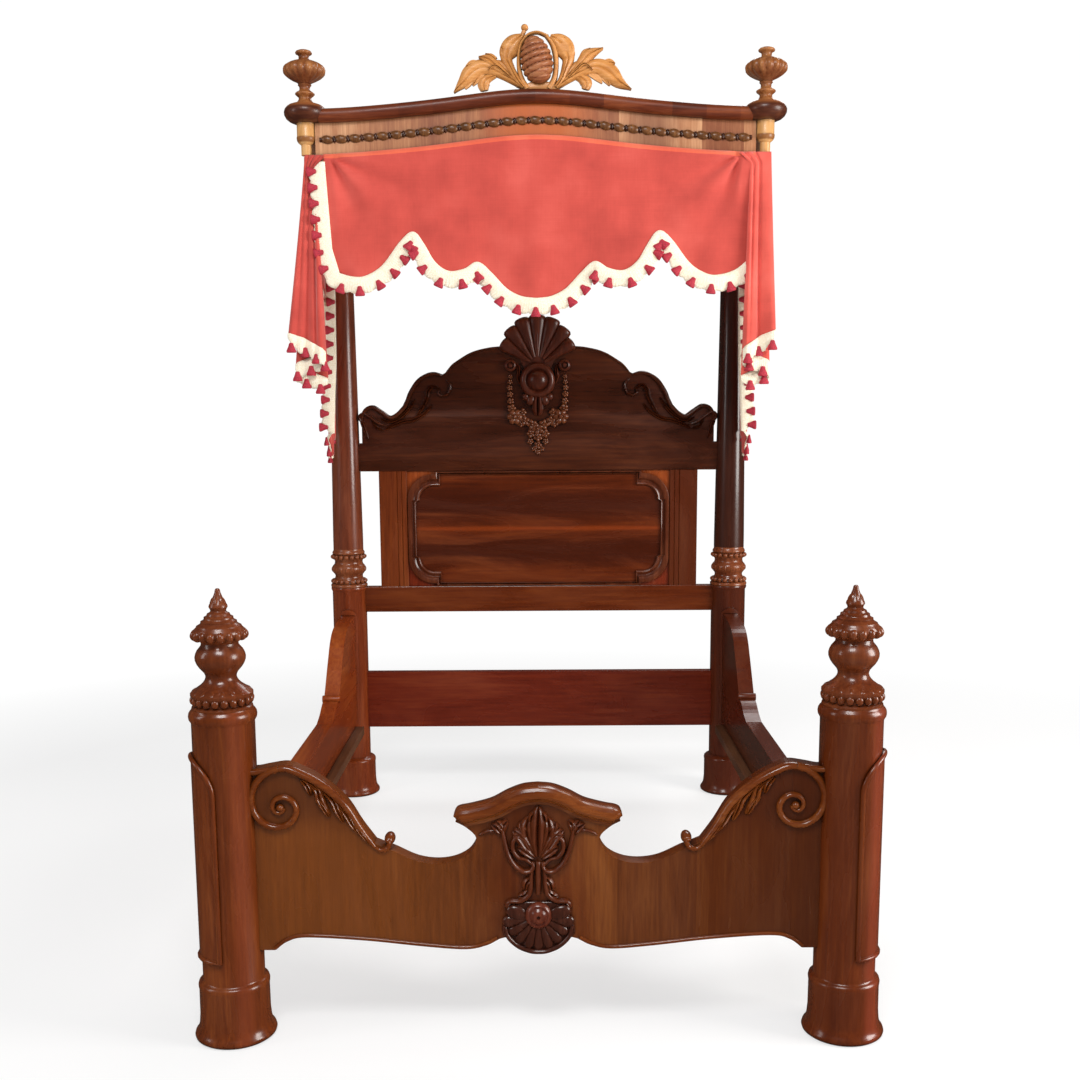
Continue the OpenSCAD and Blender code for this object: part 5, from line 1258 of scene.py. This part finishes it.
# front valance: gathered at both corners, straight left edge with its own fringe
front = {"half": 711, "left": -688, "edge": 330, "lean": 16, "leanFrom": -600, "hem": 13,
         "gather": 668, "crease": 12, "reach": 300}


def frontDrop(x):
    return cloth["drop"] * between(valanceEdge, abs(x) / front["half"])


def frontTop(x):
    return canopy["z"] + cloth["head"] + riseAt(x / front["half"])


def frontPoint(x, depth):
    u, v = x / front["half"], depth / frontDrop(x)
    z = frontTop(x) - riseAt(u) * v - depth
    ripple = cloth["fold"] * (0.35 + 0.4 * math.cos(math.radians(u * 900)))
    reachX, reachZ = front["gather"] - abs(x), max(canopy["z"] - z, 0)
    far, turn = math.hypot(reachX, reachZ), math.atan2(reachZ, max(reachX, 1))
    crease = front["crease"] * math.sin(9 * turn + 0.6) * math.exp(-far / front["reach"]) \
        * min(1, far / 40)
    slack = 1.6 * math.sin(x * 0.055 + 2 * v) * v + 1.1 * math.sin(x * 0.021 - 5 * v)
    return x, cloth["y"] - 2 - v * (ripple + 2) - crease - slack * min(1, 5 * v), z


def frontSheet():
    rows, hem = 44, front["hem"]

    def place(u, v):
        x = front["left"] + (front["half"] - front["left"]) * u
        step = v * rows
        depth = hem * step if step <= 1 else hem + (frontDrop(x) - hem) * (step - 1) / (rows - 1)
        px, py, pz = frontPoint(x, depth)
        if x < front["leanFrom"]:  # the left edge leans in a little as it drops
            px += front["lean"] * (depth / front["edge"]) * (x - front["leanFrom"]) \
                / (front["left"] - front["leanFrom"])
        return px, py, pz

    bm = gridSheet(230, rows, place)
    for face in bm.faces:
        middle = face.calc_center_median()
        if middle.z > frontTop(middle.x) - hem:
            face.material_index = 1
    return bm


def frontEdge():  # down the left edge, then along the scallops
    left, lean, steps = front["left"], front["lean"], 240
    line = [(left + lean * i / 20, frontPoint(left, front["edge"] * i / 20)[1],
             canopy["z"] - 20 - 275 * i / 20) for i in range(21)]
    for i in range(4, steps + 1):
        x = left + lean + (front["half"] - left - lean) * i / steps
        line.append(frontPoint(x, frontDrop(x)))
    return line


valance = thicken(finishPiece("valance_front", frontSheet(), [coralCloth, hemCloth],
                              ["valance_front"], 180), 2.5)
band, tassels = edgeFringe(frontEdge(), (0, -1, 0))
bandPiece = thicken(finishPiece("fringe_front", band, fringeThread, ["fringe_front"],
                                180), 3)
tasselPiece = finishPiece("fringe_front_tassels", joined(tassels), tasselThread)
print("front valance done")

# falls at the corners, folded in three like a cascade; [share, x, y, z] of the hem
hemKeys = [(0, -816, 0, 1762), (0.2, -767, -4, 1746), (0.38, -706, -2, 1712), (0.43, -696, 4, 1700),
           (0.47, -704, 9, 1695), (0.6, -748, 11, 1684), (0.73, -790, 12, 1668), (0.77, -799, 16, 1660),
           (0.81, -790, 20, 1652), (0.9, -745, 22, 1636), (1, -694, 22, 1615)]
hemOuter, hemInner, firstFold = hemKeys[0][1], hemKeys[-1][1], hemKeys[3][0]
falls = {
    "left": {"top": (-749, -714), "y": 342, "hemY": 318, "deep": 0.35, "inner": -694, "wide": 1,
             "small": 3, "pleats": ((0.74, 15, 0.04), (0.45, 5, 0.05), (0.2, 4, 0.05)),
             "sign": 1, "cloth": coralCloth, "band": ["fringe_falls"]},
    # the right-hand fall takes the lighter copy of the rep, painted light
    "right": {"top": (-762, -694), "y": 333, "hemY": 300, "deep": 0.3, "inner": -674, "wide": 0.88,
              "small": 0.6, "pleats": ((0.52, 17, 0.05), (0.8, 8, 0.05)),
              "sign": -1, "cloth": paintedLightCloth, "band": []}}


def hemAt(u, axis):
    return between([(k[0], k[axis]) for k in hemKeys], u)


def fallPoint(u, v, spec):
    topOuter, topInner = spec["top"]
    share = (hemAt(u, 1) - hemOuter) / (hemInner - hemOuter)
    ease = v ** 1.12
    hemX = spec["inner"] + (hemAt(u, 1) - hemInner) * spec["wide"]
    x = (topOuter + (topInner - topOuter) * share) * (1 - ease) + hemX * ease
    wave = (9 * math.sin(share * 8.5 + 0.8 * v) + spec["small"] * math.sin(share * 23)) * v
    if u < firstFold:
        x += 38 * share * max(0, 1 - 18 * v)  # tucked under the valance
        for middle, deep, width in spec["pleats"]:
            wave -= deep * math.exp(-((share - middle) / width) ** 2) * min(1, 0.25 + 1.6 * (1 - v))
    else:
        wave *= 0.3
    y = spec["y"] * (1 - v) + spec["hemY"] * v + hemAt(u, 2) * (spec["deep"] + (1 - spec["deep"]) * v)
    top = canopy["z"] + cloth["head"] - 2
    return Vector((x, y - wave, top + (hemAt(u, 3) - top) * v))


for side, spec in falls.items():
    columns = 150
    bm = gridSheet(columns, 60, lambda u, v: fallPoint(u, v, spec))
    edge = [fallPoint(i / columns, 1, spec) for i in range(columns + 1)]
    band, tassels = edgeFringe(edge, (0, -1, 0), (0, 0, -1), 14, 4)
    tassels = joined(tassels)
    if spec["sign"] < 0:
        bm, band, tassels = mirrored(bm), mirrored(band), mirrored(tassels)
    for face in bm.faces:
        if face.calc_center_median().z > canopy["z"] + 2:
            face.material_index = 1
    fall = thicken(finishPiece("front_fall_" + side, bm, [spec["cloth"], hemCloth],
                               ["front_fall_" + side], 180), 2)
    bandPiece = thicken(finishPiece("fall_fringe_" + side, band, fringeThread, spec["band"],
                                    180), 3)
    tasselPiece = finishPiece("fall_tassels_" + side, tassels, tasselThread)
print("falls done")

# side valances: scalloped, ending in a long tail at the head post
sideCloth = {"x": -757.5, "start": 384, "end": 943, "tailFrom": 778, "tail": 945}
sideEdge = smoothCurve([(0, 0.9), (0.12, 0.86), (0.26, 0.7), (0.36, 0.62), (0.48, 0.72), (0.6, 0.88),
                        (0.75, 0.93)], 6)
tailFront = [(0, -760), (0.12, -748), (0.45, -736), (0.72, -739), (0.84, -746), (1, -753)]


def scallopPoint(y, v):
    u = (y - sideCloth["start"]) / (sideCloth["end"] - sideCloth["start"])
    drop = cloth["drop"] * between(sideEdge, u)
    swing = cloth["fold"] * (0.45 + 0.4 * math.cos(math.radians(u * 2160)))
    return Vector((sideCloth["x"] - v * swing, y, canopy["z"] + cloth["head"] - v * drop))


def tailPoint(u, v):  # u from the front edge to the post
    start = sideCloth["tailFrom"] - 8 * v
    y = start + (sideCloth["end"] - sideCloth["tailFrom"] + 4 * v) * u
    curl = (1 - min(1, u / 0.3)) ** 2
    folds = sideCloth["x"] - 5 - 6 * v - 13 * v * math.sin(3.5 * math.pi * u) ** 2
    x = folds * (1 - curl) + between(tailFront, v) * curl
    drop = sideCloth["tail"] * (1 - 0.045 * math.cos(math.tau * u))
    return Vector((x, y, canopy["z"] + cloth["head"] - v * drop))


def scallopTo(length):
    return lambda u, v: scallopPoint(sideCloth["start"] + length * u, v)


run = sideCloth["tailFrom"] - sideCloth["start"]
for side, sign in (("left", 1), ("right", -1)):
    whole = joined([gridSheet(90, 24, scallopTo(run + 20)), gridSheet(60, 60, tailPoint)])
    scallopEdge = [scallopPoint(sideCloth["tailFrom"] - 4 - (run - 4) * i / 80, 1) for i in range(81)]
    tailSide = [tailPoint(0, i / 60) for i in range(20, 61)]
    tailHem = [tailPoint(1 - i / 30, 1) for i in range(31)]
    bands, tassels = [], []
    for edge, out, down, hang, deep in ((scallopEdge, (-1, 0, 0), None, (1, 1), 1),
                                        (tailSide, (0, -1, 0), (-0.99, -0.1, 0), (-0.5, 0.8), 0.9),
                                        (tailHem, (-1, 0, 0), (0, 0, -1), (-0.2, -0.2), 0.3)):
        band, knots = edgeFringe(edge, out, down, hang=hang, deep=deep)
        bands.append(band)
        tassels += knots
    bands, tassels = joined(bands), joined(tassels)
    if sign < 0:
        whole, bands, tassels = mirrored(whole), mirrored(bands), mirrored(tassels)
    sheet = thicken(finishPiece("valance_" + side, whole, coralCloth, ["valance_" + side],
                                180), 2.5)
    bandPiece = thicken(finishPiece("side_fringe_" + side, bands, fringeThread,
                                    ["fringe_sides"] if sign > 0 else [], 180), 3)
    tasselPiece = finishPiece("side_tassels_" + side, tassels, tasselThread)
print("side valances done")

# floor, light and camera
# the floor turns to the backdrop's white away from the bed, and glossy wood sees a dim warm room
stage = {"size": 60, "fadeFrom": 2.6, "fadeTo": 4.2, "glow": 0.56, "white": 1.02, "dim": 0.05}
bpy.ops.mesh.primitive_plane_add(size=stage["size"], location=(0, 0, -0.0005))
floor = bpy.context.object
floor.name = "floor"
material, tree, shader = newMaterial("white_studio_floor")
shader.inputs["Base Color"].default_value = linearColour("#f6f6f6")
shader.inputs["Roughness"].default_value = 0.9
shader.inputs["Specular IOR Level"].default_value = 0.2
where = addNode(tree, "TexCoord").outputs["Object"]
far = addNode(tree, "VectorMath", {0: where}, operation="LENGTH")
fade = addNode(tree, "MapRange", {"Value": far.outputs["Value"], "From Min": stage["fadeFrom"],
                                  "From Max": stage["fadeTo"], "To Min": stage["glow"]})
rays = addNode(tree, "LightPath")
share = addNode(tree, "Math", {0: rays.outputs["Is Camera Ray"], 1: fade.outputs["Result"]},
                operation="MULTIPLY")
glow = addNode(tree, "Emission", {"Color": (1, 1, 1, 1), "Strength": stage["white"]})
mix = addNode(tree, "MixShader", {0: share.outputs[0], 1: shader.outputs[0], 2: glow.outputs[0]})
dull = addNode(tree, "Emission", {"Color": (1, 0.85, 0.7, 1), "Strength": stage["dim"]})
mix = addNode(tree, "MixShader", {0: rays.outputs["Is Glossy Ray"], 1: mix.outputs[0],
                                  2: dull.outputs[0]})
output = next(n for n in tree.nodes if n.type == "OUTPUT_MATERIAL")
tree.links.new(mix.outputs[0], output.inputs["Surface"])
floor.data.materials.append(material)

world = bpy.data.worlds.new("studio")
bpy.context.scene.world = world
world.use_nodes = True
tree = world.node_tree
tree.nodes.clear()
rays = addNode(tree, "LightPath")
soft = addNode(tree, "Background", {"Color": (1, 1, 1, 1), "Strength": 0.42})
mirror = addNode(tree, "Background", {"Color": (1, 0.95, 0.9, 1), "Strength": stage["dim"]})
white = addNode(tree, "Background", {"Color": (1, 1, 1, 1), "Strength": stage["white"]})
mix = addNode(tree, "MixShader", {0: rays.outputs["Is Glossy Ray"], 1: soft.outputs[0],
                                  2: mirror.outputs[0]})
mix = addNode(tree, "MixShader", {0: rays.outputs["Is Camera Ray"], 1: mix.outputs[0],
                                  2: white.outputs[0]})
addNode(tree, "OutputWorld", {"Surface": mix.outputs[0]})


def lamp(name, place, aim, size, power, colour=(1, 1, 1)):
    data = bpy.data.lights.new(name, "AREA")
    data.shape, data.size, data.size_y = "RECTANGLE", size[0], size[1]
    data.energy, data.color = power, colour
    light = bpy.data.objects.new(name, data)
    light.location = place
    light.rotation_euler = (Vector(aim) - Vector(place)).to_track_quat("-Z", "Y").to_euler()
    bpy.context.scene.collection.objects.link(light)


lamp("window", (4.3, -1.7, 2.1), (-0.3, 0.2, 1.1), (2.0, 2.4), 190, (1, 0.97, 0.93))
lamp("ceiling", (-0.4, -3.6, 4.6), (0, -0.2, 0.9), (1.8, 1.2), 120)
lamp("left", (-4.4, -2.0, 2.6), (0, 0.3, 1.2), (0.9, 2.4), 30)
lamp("behind", (1.5, 3.6, 4.2), (0, 0.6, 0.4), (2.4, 1.6), 60)

# fitted to the posts: pixels of the 1080 x 1080 frame, metres and degrees
photoCamera = {"frame": 1080, "focal": 1258, "shiftUp": 64, "place": (0.013, -3.907, 1.501),
               "pitch": 81.38, "yaw": 0.10, "roll": -0.33}
camera = bpy.data.cameras.new("camera")
camera.sensor_width = 36
camera.lens = photoCamera["focal"] / photoCamera["frame"] * camera.sensor_width
camera.shift_y = photoCamera["shiftUp"] / photoCamera["frame"]
viewer = bpy.data.objects.new("camera", camera)
bpy.context.scene.collection.objects.link(viewer)
viewer.location = photoCamera["place"]
pitch, yaw, roll = (math.radians(photoCamera[turn]) for turn in ("pitch", "yaw", "roll"))
turn = Euler((pitch, 0, yaw)).to_matrix() @ Matrix.Rotation(roll, 3, "Z")
viewer.rotation_euler = turn.to_euler()
bpy.context.scene.camera = viewer
bpy.context.scene.view_settings.view_transform = "Standard"
